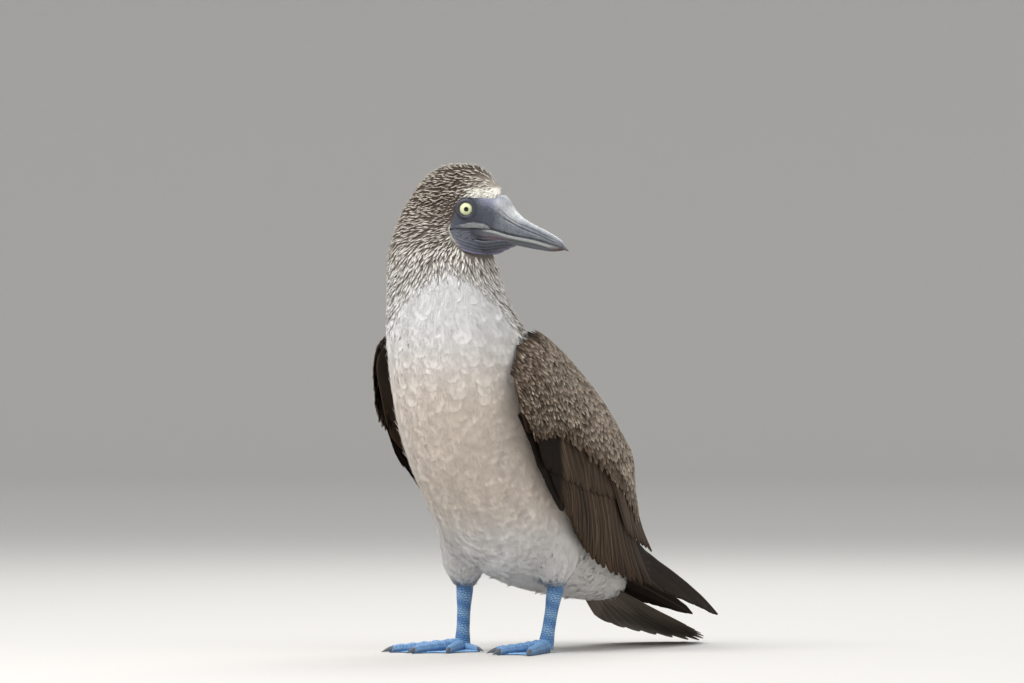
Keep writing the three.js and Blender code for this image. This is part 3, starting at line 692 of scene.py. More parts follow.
def body_spacing(points):
    """How far apart feathers grow: closest round the face, widest on the belly; none on the bare face."""
    _, _, z = points.T
    near_face = smooth(-26, -4, bare_depth(points)) * (z > 385)
    gap = np.interp(z, [120, 250, 310, 350, 380, 400, 466], [5.6, 5.2, 3.6, 2.8, 2.5, 2.45, 2.3])
    gap = mix(gap, 1.9, near_face)
    gap = mix(gap, 3.0, smooth(150, 110, z) * smooth(62, 46, leg_distance(points)))
    gap = mix(gap, 3.7, on_back(*ring_place(points)))
    return np.where((bare_depth(points) > 0.7) & (z > 380), -1, gap)


roots = scattered(body_spacing, SCATTER_TRIES)
root_z = roots[:, 2]
white_share = np.maximum(bib(roots) * smooth(382, 368, root_z), smooth(292, 262, root_z))
mantle = on_back(*ring_place(roots)) > draws.uniform(0.3, 0.7, len(roots))
broad = (draws.random(len(roots)) < smooth(0.35, 0.75, white_share)) & ~mantle
face_near = smooth(-24, -2, bare_depth(roots)) * (root_z > 385)
face_near = face_near * mix(1, 0.3, smooth(-12, -26, head_place(roots)[2]))
small_feather = tinted_material("small feathers", 0.85, 1400, 0.00012, vary=0.1, specular=0.15)
white_feather = tinted_material("white feathers", 0.9, 900, 0.00004, sheen=0.3, vary=0.03, specular=0.1)

for name, chosen in (
    ("head_hackles", ~broad & ~mantle & (root_z >= 392)),
    ("neck_hackles", ~broad & ~mantle & (root_z < 392)),
):
    own = roots[chosen]
    size = draws.normal(1, 0.1, len(own)) * mix(1, 0.5, face_near[chosen])
    tall = np.interp(own[:, 2], [300, 350, 390, 430, 466], [1.8, 1.8, 1.4, 0.95, 0.8])
    hackles = coat(
        name,
        own,
        length=9.6 * size * tall,
        width=2.3 * size * tall * np.interp(own[:, 2], [300, 340, 385, 400], [1.6, 1.35, 1.15, 1.0]),
        stations=(0, 0.18, 0.45, 0.74, 1),
        profile=(0, 0.85, 1, 0.6, 0),
        lift=(-0.8, 2.4),
        spread=0.24,
        blend=(0.42, 0.85) if name == "head_hackles" else (0.22, 0.6),
        darken=0.2 if name == "head_hackles" else 0.12,
        rim=0.55,
    )
    rides(hackles, small_feather, "streaked_plumage")

own = roots[mantle]
size = draws.normal(1, 0.1, len(own))
mantle_feathers = coat(
    "mantle_feathers",
    own,
    length=17 * size,
    width=7.5 * size,
    stations=(0, 0.2, 0.55, 0.86, 1),
    profile=(0, 0.7, 1, 0.75, 0),
    lift=(-0.8, 1.4),
    spread=0.16,
    blend=(0.6, 0.98),
    darken=0.16,
    rim=0.1,
)
rides(mantle_feathers, small_feather, "brown_plumage")

own = roots[broad]
size = draws.normal(1, 0.1, len(own))
size = size * np.interp(own[:, 2], [60, 100, 200, 330, 380], [0.7, 0.9, 1.1, 1.0, 0.7])
size = size * mix(1, 0.65, smooth(80, 68, own[:, 2]) * smooth(28, 20, leg_distance(own)))
broad_feathers = coat(
    "body_feathers",
    own,
    length=19 * size,
    width=14 * size,
    stations=(0, 0.2, 0.55, 0.86, 1),
    profile=(0, 0.6, 1, 0.8, 0),
    lift=(-0.6, 0.1),
    spread=0.12,
    blend=(0.2, 0.8),
    darken=0.01,
    puff=np.interp(own[:, 2], [230, 300, 370], [0.2, 0.8, 0.7]),
    twist=0.02,
    arch=0.04,
    soft=True,
)
rides(broad_feathers, white_feather, "white_plumage")
for number, share in enumerate(np.array_split(np.tile(draws.permutation(len(own)), 2), 3)):
    tufts = down_tufts(
        f"body_down_{number}",
        own[share] + draws.normal(0, 1.8, (len(share), 3)),
        length=16 * size[share],
        width=11 * size[share],
        lift=(-0.1, np.interp(own[share, 2], [90, 150, 260, 340], [0.9, 0.45, 0.45, 0.8])),
        spread=0.14,
        puff=np.interp(own[share, 2], [230, 300, 370], [0.2, 0.8, 0.7]),
    )
    rides(tufts, white_feather, "white_plumage")

# Bill and bare face. The upper bill and the bare skin round the eye are one horny and leathery
# shell that runs from behind the eye to the tip; the lower bill hangs under the line of the mouth.
# Side lines of (forward, up) and half widths of (forward, width), from the middle of the eyes.
BILL_TIP, LOWER_TIP = 116.3, 110.0
RIDGE = [(-12, 25), (8, 22.5), (20, 20.8), (30, 19.6), (36, 16), (42, 11), (53, 5.2), (67, 2), (86, -1)]
RIDGE += [(99, -3.6), (109, -7.4), (BILL_TIP, -13.5)]
MOUTH = [(-12, -23.5), (-9, -22.5), (4, -18.2), (16, -15.4), (27, -13.4), (50, -13.4), (81, -11.6)]
MOUTH += [(104, -12.4), (BILL_TIP, -13.6)]
KEEL = [(-9, -25), (5, -29.5), (20, -30), (40, -25), (55, -22.6), (80, -20.4), (100, -17.4)]
KEEL += [(LOWER_TIP, -13.9)]
THROAT = [(-9, -25.5), (-6, -28), (3, -33), (13, -38.4), (26, -38.8), (33, -36.2), (43, -30), (58, -23)]
BILL_HALF = [(-12, 21.5), (-6, 20.4), (0, 18.3), (4, 17), (8, 16.1), (16, 15.4), (24, 14.5), (30, 13.4)]
BILL_HALF += [(42, 11.1), (53, 9.4), (67, 8), (86, 6), (99, 4.5), (109, 2.9), (BILL_TIP, 0.5)]
BILL_RINGS = 230
EYE_HALF = 17.6
MASK_SLATE = colour("41454f")
MASK_DARK = colour("2f323a")
MASK_LILAC = colour("787a90")
BILL_GREY = colour("62666d")
# Pale grey for the painted highlights on the upper bill.
BILL_HIGHLIGHT = colour("bcbebd")
BILL_TIP_DARK = colour("5b4c48")
MOUTH_EDGE = colour("969896")
MANDIBLE_ROSE = colour("7c6670")


def curve(pairs, x):
    """A smooth line through (x, value) pairs: cubic runs whose slopes are the mean of both sides' slopes."""
    px, py = np.array(pairs, float).T
    slope = np.gradient(py, px)
    i = np.clip(np.searchsorted(px, x) - 1, 0, len(px) - 2)
    step = px[i + 1] - px[i]
    t = np.clip((x - px[i]) / step, 0, 1)
    a, b = py[i], py[i + 1]
    ends = a * (1 + 2 * t) * (1 - t) ** 2 + b * t * t * (3 - 2 * t)
    return ends + step * slope[i] * t * (1 - t) ** 2 - step * slope[i + 1] * t * t * (1 - t)


def with_ends(tint):
    """A tint by grid point, with the means of the first and last rings added for a tube's two end points."""
    return np.concatenate([tint.reshape(-1, 3), [tint[0].mean(0), tint[-1].mean(0)]])


def closed_piece(name, grid, tint):
    """A closed tube from a grid of rings given in bird millimetres, with its tint by grid point."""
    points, quads, tris = capped(placed(grid))
    return new_mesh(name, points, *outward(points, quads, tris), with_ends(tint))


def tinged(tint, other, share):
    """A tint run towards another colour by a share for each point."""
    return mix(tint, other, np.clip(share, 0, 1)[..., None])


def ridge(x, middle, width):
    """1 at the middle, falling away on both sides in a bell curve of the given width."""
    return np.exp(-(((x - middle) / width) ** 2))


def head_points(f, r, u):
    """Places given forward, right and up of the eyes' middle, as bird points."""
    return EYE_MIDDLE + f[..., None] * FORWARD + r[..., None] * SIDE + u[..., None] * UP


# How far the head reaches to each side, as tables over its side view in cells of half a millimetre.
REACH_CELL = 0.5
REACH_LOW = np.array([-16.0, -46.0])
reach_rings = np.meshgrid(np.linspace(0.02, 0.45, 1100), np.linspace(0, 2 * np.pi, 1400), indexing="ij")
reach_spots = head_place(body_point(*reach_rings).reshape(-1, 3))
REACH = {}
for sign in (1, -1):
    table = np.zeros((130, 160))
    cell = np.round((np.stack([reach_spots[0], reach_spots[2]], -1) - REACH_LOW) / REACH_CELL).astype(int)
    inside = ((cell >= 0) & (cell < table.shape)).all(1)
    np.maximum.at(table, tuple(cell[inside].T), sign * reach_spots[1][inside])
    REACH[sign] = table


def head_reach(f, u, sign):
    """How far the feathered head reaches to one side at a place in its side view, or 0 outside it."""
    at = (np.stack([f, u], -1) - REACH_LOW) / REACH_CELL
    at = np.clip(at, 0, np.array(REACH[sign].shape) - 1.001)
    i, part = at.astype(int), at - at.astype(int)
    table, m, n = REACH[sign], part[..., 0], part[..., 1]
    low = mix(table[i[..., 0], i[..., 1]], table[i[..., 0] + 1, i[..., 1]], m)
    high = mix(table[i[..., 0], i[..., 1] + 1], table[i[..., 0] + 1, i[..., 1] + 1], m)
    return mix(low, high, n)


def wider(r, f, u, close, under):
    """The wider of a shape's own half width and the head's, less a depth under it, run softly together."""
    soft = 1.2
    shape, side = np.abs(r), np.where(r >= 0, 1, -1)
    head = np.where(r >= 0, head_reach(f, u, 1), head_reach(f, u, -1)) - under
    head = np.maximum(head, 0) * close
    return side * (shape + head + np.sqrt((shape - head) ** 2 + soft**2) - soft * smooth(3, 0, shape)) / 2


def eye_distance(f, r, u):
    """How far a place lies from the line along which the nearer eye looks out."""
    away = np.stack([f - LID_AHEAD, np.abs(r) - EYE_HALF, u], -1)
    axis = np.array([math.cos(EYE_AXIS), math.sin(EYE_AXIS), 0])
    along = away @ axis
    return np.linalg.norm(away - along[..., None] * axis, axis=-1)


def bill_section(side, edge, phi, start, end):
    """One half of the bill. Rings run along it; round each, phi goes over the arch from right to left and
    the rest closes along the mouth line. side is 1 above the mouth and -1 below."""
    v = np.linspace(0, 1, BILL_RINGS)[:, None]
    f = mix(start, end, v)
    half = curve(BILL_HALF, f) * (1 if side > 0 else 0.97)
    half = half * np.minimum(1, np.sqrt(np.maximum(end + 0.3 - f, 0.02) / 4))
    mouth = curve(MOUTH, f) + side * 0.12
    height = np.maximum(side * (curve(edge, f) - mouth), 0.25)
    arch = phi <= np.pi
    s = np.where(arch, np.sin(phi), 0)
    c = np.where(arch, np.cos(phi), -1 + 2 * (phi - np.pi) / np.pi)
    r = half * power(c, 0.82)
    u = mouth + side * height * np.maximum(s, 0) ** 0.86
    return f, r, u, height, s, c, arch, v


phi = np.concatenate([np.linspace(0, np.pi, 121), np.linspace(np.pi, 2 * np.pi, 14)[1:-1]])[None]
side_height = np.maximum(np.sin(phi), 0) * (phi <= np.pi)
start_u = mix(-22.5, 24, side_height**0.86)
start_f = np.where(phi <= np.pi, np.clip(face_edge(np.clip(start_u, -22, 19.4)) - 1.5, -12, 25), -9)
f, r, u, height, s, c, arch, v = bill_section(1, RIDGE, phi, start_f, BILL_TIP)
level = (u - curve(MOUTH, f)) / height
upper_line = np.interp(f, [30, 52, 70, 100], [0.66, 0.72, 0.78, 0.66])
lower_line = np.interp(f, [34, 50, 84, 104], [0.5, 0.6, 0.5, 0.4])
groove = 0.7 * ridge(level, upper_line, 0.035) * smooth(26, 40, f) * smooth(100, 88, f)
groove += ridge(level, lower_line, 0.045) * smooth(32, 48, f) * smooth(108, 98, f)
crease = ridge(level * height, 1.1, 0.9) * smooth(26, 34, f) * smooth(114, 104, f)
wedge_top = np.interp(f, [-8, -2, 10, 22, 29, 33], [-21, -15.5, -10.5, -9, -10.5, -13.6])
wedge = smooth(0, 1.2, wedge_top - u) * smooth(-7, 2, f) * smooth(33, 27, f) * arch
wedge_edge = ridge(u, wedge_top + 0.5, 0.8) * smooth(-7, 2, f) * smooth(34, 30, f) * arch
fine = 0.1 * np.sin(level * 95 + 3 * np.sin(f * 0.08)) * smooth(40, 52, f) * smooth(0.05, 0.2, level)
sunk = 3.2 * smooth(0.022, 0.0, v) + 1.6 * smooth(31, 22, f) * smooth(17.6, 21, u)
swell = -0.6 * groove - 0.6 * crease + 0.55 * wedge - 0.35 * wedge_edge + fine - np.where(arch, sunk, 0)
r = np.where(arch, wider(r, f, u, smooth(0, 0.35, np.abs(c)) * smooth(30, 14, f), 0.6), r)
r = r + np.sign(r) * (swell - 4.5 * smooth(8.4, 6.6, eye_distance(f, r, u))) * np.abs(c) ** 0.5
u = u + swell * np.maximum(s, 0)
mask = smooth(38, 24, f + 0.25 * (u - 10))
grains = draws.random(f.shape)
specks = sum(np.roll(grains, by, (0, 1)) for by in ((0, 0), (1, 0), (0, 1), (1, 1))) / 4
specks = smooth(0.62, 0.8, specks)
streaks = np.sin(level * 41 + 1.3 * np.sin(f * 0.11)) * np.sin(level * 17 + f * 0.07) * smooth(34, 50, f)
blotch = np.sin(f * 0.31 + 3 * level) * np.sin(f * 0.13 - 7 * level) + 0.6 * np.sin(f * 0.9 + 9 * level)
tint = tinged(BILL_GREY, MASK_SLATE, mask)
tint = tinged(tint, MASK_LILAC, 0.7 * smooth(4, 14, u) * smooth(4, 14, f) * smooth(36, 28, f))
# Painted highlights: a pale speckled patch on the upper flank of the bill's base and a pale line along its
# ridge stand in for light off the top of the bill.
culmen_highlight = smooth(0.5, 0.8, level) * smooth(22, 34, f) * smooth(66, 44, f) * (0.65 + 0.35 * specks)
tint = tinged(tint, BILL_HIGHLIGHT, 0.7 * culmen_highlight + 0.3 * smooth(0.8, 0.95, level) * smooth(30, 50, f))
# Painted shade: the bare face darkens towards a point just in front of and below the eye, in the hollow
# there.
tint = tinged(tint, MASK_DARK, 0.6 * mask * smooth(22, 6, np.abs(u + 4) + np.abs(f - 8)))
tint = tinged(tint, MOUTH_EDGE, 0.5 * wedge * smooth(-6, 8, f))
tint = tinged(tint, BILL_TIP_DARK, smooth(100, 113, f) * smooth(0.9, 0.2, level))
# Painted shade darkens the two grooves, the crease above the mouth line and the edge of the fold under the
# eye; the specks are the bill's own mottling, and a dark ring runs round the lid.
dark = 0.6 * np.clip(groove, 0, 1) + 0.75 * crease + 0.6 * wedge_edge
dark = dark + 0.4 * specks * smooth(14, 28, f) * smooth(104, 90, f) * smooth(0.85, 0.6, level)
socket = eye_distance(f, r, u)
dark = dark + 0.45 * smooth(9.0, 9.8, socket) * smooth(11.6, 10.2, socket)
tint = tint * (1 - np.clip(dark, 0, 0.85) + 0.13 * streaks + 0.09 * blotch * smooth(10, 30, f))[..., None]
upper_bill = closed_piece("upper_bill", head_points(f, r, u), np.clip(tint, 0, 1))
horn = tinted_material("bill horn", 0.42, 520, 0.0004, vary=0.34, specular=0.4)
rides(upper_bill, horn, "bill", "bill_upper")

start_f = np.full_like(phi, -9.0)
f, r, u, height, s, c, arch, v = bill_section(-1, KEEL, phi, start_f, LOWER_TIP)
level = (curve(MOUTH, f) - u) / height
lip = smooth(0.1, 0.6, level * height) * smooth(3.6, 2.2, level * height)
lip = lip * smooth(20, 30, f) * smooth(108, 94, f)
groove = ridge(level, 0.55, 0.09) * smooth(8, 24, f) * smooth(100, 84, f)
rose = smooth(18, 30, f) * smooth(56, 42, f) * smooth(0.25, 0.5, level) * smooth(0.95, 0.7, level)
sunk = 3.0 * smooth(0.03, 0.0, v)
swell = 0.5 * lip - 0.4 * groove - np.where(arch, sunk, 0) + 0.08 * np.sin(level * 50)
r = np.where(arch, wider(r, f, u, smooth(0, 0.35, np.abs(c)) * smooth(30, 14, f), 0.7), r)
r = r + np.sign(r) * swell * np.abs(c) ** 0.5
u = u - swell * np.maximum(s, 0)
tint = tinged(BILL_GREY * 0.8, MASK_SLATE * 0.75, smooth(34, 10, f))
tint = tinged(tint, MANDIBLE_ROSE, 0.6 * rose)
tint = tinged(tint, MOUTH_EDGE, 0.9 * lip)
tint = tinged(tint, BILL_TIP_DARK, smooth(92, 106, f) * smooth(0.0, 0.5, level))
bands = np.sin(f * 0.55 + 0.1 * u) * smooth(22, 8, f)
# Painted shade darkens the groove; the bands are the skin's own colour.
tint = tint * (1 - 0.3 * np.clip(groove, 0, 1) + 0.15 * bands)[..., None]
lower_bill = closed_piece("lower_bill", head_points(f, r, u), np.clip(tint, 0, 1))
rides(lower_bill, horn, "bill", "bill_lower")

# Throat skin. A bare wrinkled bag of violet skin is slung between the two sides of the lower bill
# and runs back into the feathers of the throat.
THROAT_VIOLET = colour("5a576c")
v, turn = ring_grid(0.004, 0.996, 130, 120)
f = mix(-9, 58, v)
full = np.sqrt(np.clip(1 - (2 * v - 1) ** 4, 0, 1))
top = curve(KEEL, f) + 4
drop = (top - curve(THROAT, f)) * full
under = np.maximum(np.sin(turn), 0)
wrinkle = 0.25 * np.sin(drop * under * 2.3 + 1.8 * np.sin(f * 0.16))
wrinkle = wrinkle + 0.05 * np.sin(f * 1.1 + 2 * np.sin(turn * 3))
u = top - (drop + wrinkle) * under**0.8
r = curve(BILL_HALF, f) * 0.92 * full * np.cos(turn)
r = wider(r, f, u, smooth(0, 0.25, np.abs(np.cos(turn))) * smooth(0, 0.03, v), 0.5)
r = r + np.sign(np.cos(turn)) * wrinkle * np.abs(np.cos(turn)) ** 0.5
tint = tinged(THROAT_VIOLET, MASK_SLATE * 0.8, smooth(0.95, 0.6, under))
# Painted light and shade: the crests of the wrinkles are lightened and their folds darkened.
tint = tint * (1 + 1.3 * wrinkle)[..., None]
throat = closed_piece("throat_bag", head_points(f, r, u), np.clip(tint, 0, 1))
bare_skin = tinted_material("bare skin", 0.5, 700, 0.0002, vary=0.12)
rides(throat, bare_skin, "throat", "throat_skin")

# Eyes. A glossy ball with a pale yellow-green iris and a small pupil sits deep in the bare face, and
# a raised ring of dark wrinkled lid holds it there.
IRIS = colour("e3e7b8")
IRIS_EDGE = colour("c0c789")
PUPIL = colour("050506")
LID = colour("3d3e4b")
EYE_RADIUS = 8.2
PUPIL_HALF = math.degrees(math.asin(2.2 / EYE_RADIUS))
IRIS_HALF = math.degrees(math.asin(6.3 / EYE_RADIUS))
LID_RADIUS, LID_HALF = 7.95, 1.75
LID_RINGS, LID_COLUMNS = 110, 28
eye_gloss = tinted_material("eye gloss", 0.3, 900, 0.0, coat=0.45, vary=0.04, specular=0.2)
for name, sign in (("right", 1), ("left", -1)):
    axis = FORWARD * math.cos(EYE_AXIS) + SIDE * sign * math.sin(EYE_AXIS)
    face = EYE_MIDDLE + FORWARD * LID_AHEAD + SIDE * sign * EYE_HALF
    ball = face - axis * BALL_DEPTH
    level_way = unit(np.cross(UP, axis))
    upright = np.cross(axis, level_way)

    off, turn = ring_grid(math.radians(0.2), math.radians(179.8), 260, 96)
    spot = np.stack([np.cos(off), np.sin(off) * np.cos(turn), np.sin(off) * np.sin(turn)], -1)
    spot = spot @ np.stack([axis, level_way, upright])
    away = np.degrees(off)
    pupil_axis = unit(axis + FORWARD * 0.1)
    away_pupil = np.degrees(np.arccos(np.clip(spot @ pupil_axis, -1, 1)))
    fibres = 0.5 + 0.5 * np.sin(turn * 41 + 2 * np.sin(turn * 7)) * smooth(PUPIL_HALF, IRIS_HALF, away)
    tint = tinged(IRIS, IRIS * 0.86, fibres * 0.5)
    tint = tinged(tint, IRIS_EDGE, smooth(IRIS_HALF - 7, IRIS_HALF - 1, away))
    tint = tinged(tint, IRIS * 0.7, smooth(PUPIL_HALF + 4, PUPIL_HALF, away_pupil))
    tint = tinged(tint, PUPIL, smooth(PUPIL_HALF + 0.8, PUPIL_HALF - 0.8, away_pupil))
    tint = tinged(tint, PUPIL, smooth(IRIS_HALF - 1, IRIS_HALF + 1, away))
    eye = closed_piece(f"eyeball_{name}", ball + spot * EYE_RADIUS, tint)
    rides(eye, eye_gloss, "eye", f"eye_{name}")

    turn, bend = ring_grid(0, 2 * np.pi * (1 - 1 / LID_RINGS), LID_RINGS, LID_COLUMNS)
    wrinkle = 0.07 * np.sin(turn * 34 + 2 * np.sin(bend)) * (np.cos(bend) > -0.5)
    ring_out = LID_RADIUS + LID_HALF * np.cos(bend) + wrinkle
    ring_deep = 0.75 + 1.15 * np.sin(bend) - 0.6 * np.maximum(np.cos(bend), 0) ** 2
    ring = np.stack([ring_deep, ring_out * np.cos(turn), ring_out * np.sin(turn)], -1)
    points = placed(face + ring @ np.stack([axis, level_way, upright])).reshape(-1, 3)
    first = np.arange(LID_COLUMNS)
    last = first + (LID_RINGS - 1) * LID_COLUMNS
    seam = np.stack([last, np.roll(last, -1), np.roll(first, -1), first], -1)
    quads = np.concatenate([grid_faces(LID_RINGS, LID_COLUMNS), seam])
    quads, _ = outward(points, quads, np.zeros((0, 3), int))
    shade = tinged(LID, MASK_DARK, smooth(-0.2, -0.9, np.cos(bend)))
    lid = new_mesh(f"lid_ring_{name}", points, quads, tint=shade.reshape(-1, 3))
    rides(lid, bare_skin, "throat")

# Wings. Each wing lies as one bent sheet on the flank, from the wrist back to the wing tip. Long vanes
# hang from a solid arm: primaries, secondaries and their coverts, with small scale-like coverts above
# that run on over the back.
WRIST_Y, WRIST_Z = -64, 265
WING_SLOPE = math.radians(33)
# p runs along the folded wing from wrist to tip, and q up across it. How far out the wing lies at each p,
# then the upper and lower edges of its arm and the lower edge of its small coverts, as (p, q).
WING_OUT = [(-20, 82), (20, 88), (110, 87), (180, 78), (240, 63), (300, 50), (430, 38)]
ARM_TOP = [(-16, 22), (0, 50), (60, 52), (120, 42), (180, 28), (215, 8)]
ARM_FOOT = [(-16, -8), (0, -34), (30, -52), (70, -56), (130, -48), (190, -28), (215, -8)]
COVERT_FOOT = [(-20, -12), (-8, -30), (5, -42), (25, -46), (40, -32), (58, -17)]
COVERT_FOOT += [(123, -5), (188, 0), (232, 6)]
# spread sets the front of a wing off the body and flare its upper front, round bends its top inwards,
# tip_out is how far out its tip ends, and bare is how much of its arm's foot has no small coverts.
WINGS = {
    "left": dict(side=1, spread=0, flare=0, round=0.006, tip_out=38, bare=0),
    "right": dict(side=-1, spread=18, flare=14, round=0.001, tip_out=8, bare=12),
}
FLIGHT_BLACK = colour("261b13")
FLIGHT_DARK = colour("35291e")
FLIGHT_BROWN = colour("544333")
COVERT_BROWN = colour("5f4f42")
COVERT_EDGE = colour("d2c4b4")
VANE_EDGE = colour("8c7b67")
SHAFT_PALE = colour("77685a")
VANE_STEPS, VANE_COLUMNS, VANE_SPLITS = 26, 13, 3
VANE_BAKE_SPAN = 0.02
TIP_JITTER = 1.5
SCALE_THICK, SCALE_DROOP = 0.3, 0.35
# Primaries, four dark coverts of the hand, secondaries, two rows of larger coverts and the tertials, from
# the innermost tier out. Roots and tips as (p, q), and widths, are those of a tier's first and last vane.
VANE_TIERS = [
    dict(
        count=13, roots=[(90, -34), (120, -24)], tips=[(330, -38), (440, 2)], widths=(15, 19),
        sag=0, lift=-6.5, sink=12, tilt=0.7, bow=-9,
        tints=(FLIGHT_BLACK * 0.8, FLIGHT_BLACK, FLIGHT_DARK), rim=0.3,
    ),
    dict(
        count=4, roots=[(10, -34), (34, -40)], tips=[(78, -66), (118, -76)], widths=(14, 15),
        sag=0, lift=-4.6, sink=9, tilt=0.6, bow=0,
        tints=(FLIGHT_BLACK * 0.5, FLIGHT_BLACK * 0.8, FLIGHT_DARK), rim=0.2,
    ),
    dict(
        count=19, roots=[(22, -32), (150, 22)], tips=[(112, -71), (300, -50)], widths=(13, 18),
        sag=22, lift=-1.5, sink=8, tilt=0.8, bow=0,
        tints=(FLIGHT_BLACK * 0.8, FLIGHT_BROWN, VANE_EDGE), rim=0.25,
    ),
    dict(
        count=17, roots=[(8, -22), (130, 32)], tips=[(68, -62), (222, 0)], widths=(13, 18),
        sag=10, lift=0.9, sink=7, tilt=0.8, bow=0,
        tints=(FLIGHT_DARK, COVERT_BROWN * 0.9, VANE_EDGE), rim=0.3,
    ),
    dict(
        count=15, roots=[(-6, 0), (104, 38)], tips=[(36, -40), (178, 16)], widths=(13, 18),
        sag=5, lift=2.8, sink=6, tilt=0.7, bow=0,
        tints=(FLIGHT_BLACK, COVERT_BROWN, VANE_EDGE), rim=0.6,
    ),
    dict(
        count=7, roots=[(70, 16), (150, 32)], tips=[(232, -34), (296, -12)], widths=(11, 13),
        sag=0, lift=3.2, sink=6, tilt=0.8, bow=0,
        tints=(FLIGHT_BLACK, COVERT_BROWN, VANE_EDGE), rim=0.7,
    ),
]


def line_at(line, p):
    """The value at p on a line of straight runs through (p, value) pairs."""
    return np.interp(p, *np.array(line).T)


def wing_point(wing, p, q, lift):
    """A point of the wing's sheet, lift above it. The sheet bends inwards by the square of the distance past
    its upper part, its arm's top, its foot and its front, and leans and turns in towards the tip."""
    y = WRIST_Y + p * math.cos(WING_SLOPE) + q * math.sin(WING_SLOPE)
    z = WRIST_Z - p * math.sin(WING_SLOPE) + q * math.cos(WING_SLOPE)
    top = np.maximum(0, q + 4 - 0.02 * p)
    over = np.maximum(0, q + 4 - line_at(ARM_TOP, p))
    foot = np.maximum(0, -q - 46)
    nose = np.maximum(0, 16 - p)
    lean = 0.5 * smooth(170, 300, p) * (q + 40 - 40 * smooth(250, 420, p))
    turn = (38 - wing["tip_out"]) * smooth(230, 420, p)
    out = line_at(WING_OUT, p) - lean - turn
    out = out - wing["round"] * top**2 - 0.05 * over**2 - 0.006 * foot**2 - 0.007 * nose**2
    out = out + wing["spread"] * (1 - smooth(-20, 170, p)) * mix(0.3, 1, smooth(-50, 5, q))
    out = out + wing["flare"] * smooth(-30, 35, q) * (1 - smooth(0, 120, p))
    return np.stack(np.broadcast_arrays(wing["side"] * (out + lift), y, z), -1)


def wing_bake_place(p, q):
    """Where a place on a wing lies on the flat spread of the wing."""
    return np.stack([(p + 30) / 470, (q + 95) / 170], -1)


def blade_columns(count):
    """Places round a flat blade, across its top from edge to edge (-1 to 1) and back below it; and for each
    place 1 on the top and -1 below."""
    a = np.concatenate([np.linspace(-1, 1, count), np.linspace(1, -1, count)[1:-1]])
    return a, np.concatenate([np.ones(count), -np.ones(count - 2)])


def rounded_tip(s, share):
    """1 along a blade, closing to 0 in a round tip over the last share of its length."""
    return np.sqrt(np.clip((1 - s) / share, 0, 1))


def blade(grid, tint, a, s, middle, span):
    """One blade as a closed shape, its tint, and its places on a flat spread, span wide round a middle."""
    at = middle + span * np.stack(np.broadcast_arrays(a / 2, s - 0.5), -1).reshape(-1, 2)
    shade = tint.reshape(-1, 3)
    ends = [shade, shade[:1], shade[-1:]]
    return capped(placed(grid)), np.concatenate(ends), np.concatenate([at, [middle, middle]])


def blades_mesh(name, blades):
    """Blades joined as one mesh."""
    shapes, shades, bakes = zip(*blades)
    tint = np.clip(np.concatenate(shades), 0, 1)
    return new_mesh(name, *joined_shapes(shapes), tint, {"OFBake": np.concatenate(bakes)})


def wing_vanes(wing, count, roots, tips, widths, sag, lift, sink, tilt, bow, tints, rim):
    """A tier of vanes spread evenly from the first to the last, as blades with a raised shaft. Each runs
    from sink under the wing's sheet at its root to lift over it, and its edges lie tilt down and up, so that
    it laps over the next like a tile. bow bends it sideways, sag lowers middle tips, rim pales its edge."""
    t = np.linspace(0, 1, count)[:, None]
    root, tip = (mix(*np.array(both, float), t) for both in (roots, tips))
    tip[:, 1] -= sag * np.sin(np.pi * t[:, 0])
    tip[:, 0] += TIP_JITTER * np.sin(np.arange(count) * 2.4)
    width = mix(*widths, t)[..., None]
    along = tip - root
    length = np.linalg.norm(along, axis=1)[:, None, None]
    across = np.stack([-along[:, 1], along[:, 0]], -1) / length[:, 0]
    number = np.arange(count)[:, None, None]
    s = np.linspace(0.01, 0.998, VANE_STEPS)[:, None]
    a, face = blade_columns(VANE_COLUMNS)
    half = width / 2 * np.minimum(1, 0.4 + 2.4 * s) * rounded_tip(s, 0.26)
    frayed = 1 + 0.02 * np.sin(s * 90 + a * 5 + number) * (np.abs(a) > 0.9)
    off = half * a * frayed + bow * np.sin(np.pi * s)
    shaft = ridge(a, 0, 0.07) * (1 - 0.6 * s)
    barb = 0.05 * np.sin(s * length * 1.25 + np.abs(a) * width * 0.9) * (np.abs(a) > 0.1)
    split = np.zeros_like(off)
    for _ in range(VANE_SPLITS):
        where = draws.uniform(0.3, 0.95, (count, 1, 1))
        split += ridge(s, where - 0.04 * np.abs(a), 0.006) * (a > 0.35)
    thick = 0.32 * (1 - np.abs(a) ** 3) * np.minimum(1, 12 * (1 - s)) + 0.05
    rise = mix(-sink, lift, smooth(0, 0.4, s)) + tilt * a - 0.35 * a * a - 0.25 * split
    rise = rise + face * (thick + 0.32 * shaft + 0.6 * barb)
    root_at, along_at, across_at = (way.T[..., None, None] for way in (root, along, across))
    p, q = root_at + along_at * s + across_at * off
    points = wing_point(wing, p, q, rise)

    own = 1 + draws.normal(0, 0.25, (count, 1, 1, 1))
    streak = np.sin(a * 7 + number * 2.4 + 1.5 * np.sin(s * 5 + number)) * np.sin(a * 3 + number * 1.1)
    streak = 0.5 + 0.24 * streak + 0.22 * np.sin(a * 19 + number * 1.7 + 0.8 * np.sin(s * 9 + number * 2))
    dark, light, pale = tints
    tint = tinged(dark, light, smooth(0.25, 1.0, streak))
    tint = tinged(tint, pale, rim * smooth(0.7, 0.95, a) * smooth(0.1, 0.6, s) * smooth(1, 0.93, s))
    tint = tinged(tint, SHAFT_PALE, 0.45 * shaft) * own
    # Painted shade: vanes low on the wing's front, below the coverts, are darkened nearly to black.
    lower_front_shade = smooth(4, -6, q + 43 + 1.04 * (p - 78)) * smooth(224, 212, points[..., 2])
    tint = tinged(tint, FLIGHT_BLACK * 0.4, 0.95 * lower_front_shade)
    middle = wing_bake_place(*root.T)
    return [blade(points[k], tint[k], a, s, middle[k], VANE_BAKE_SPAN) for k in range(count)]


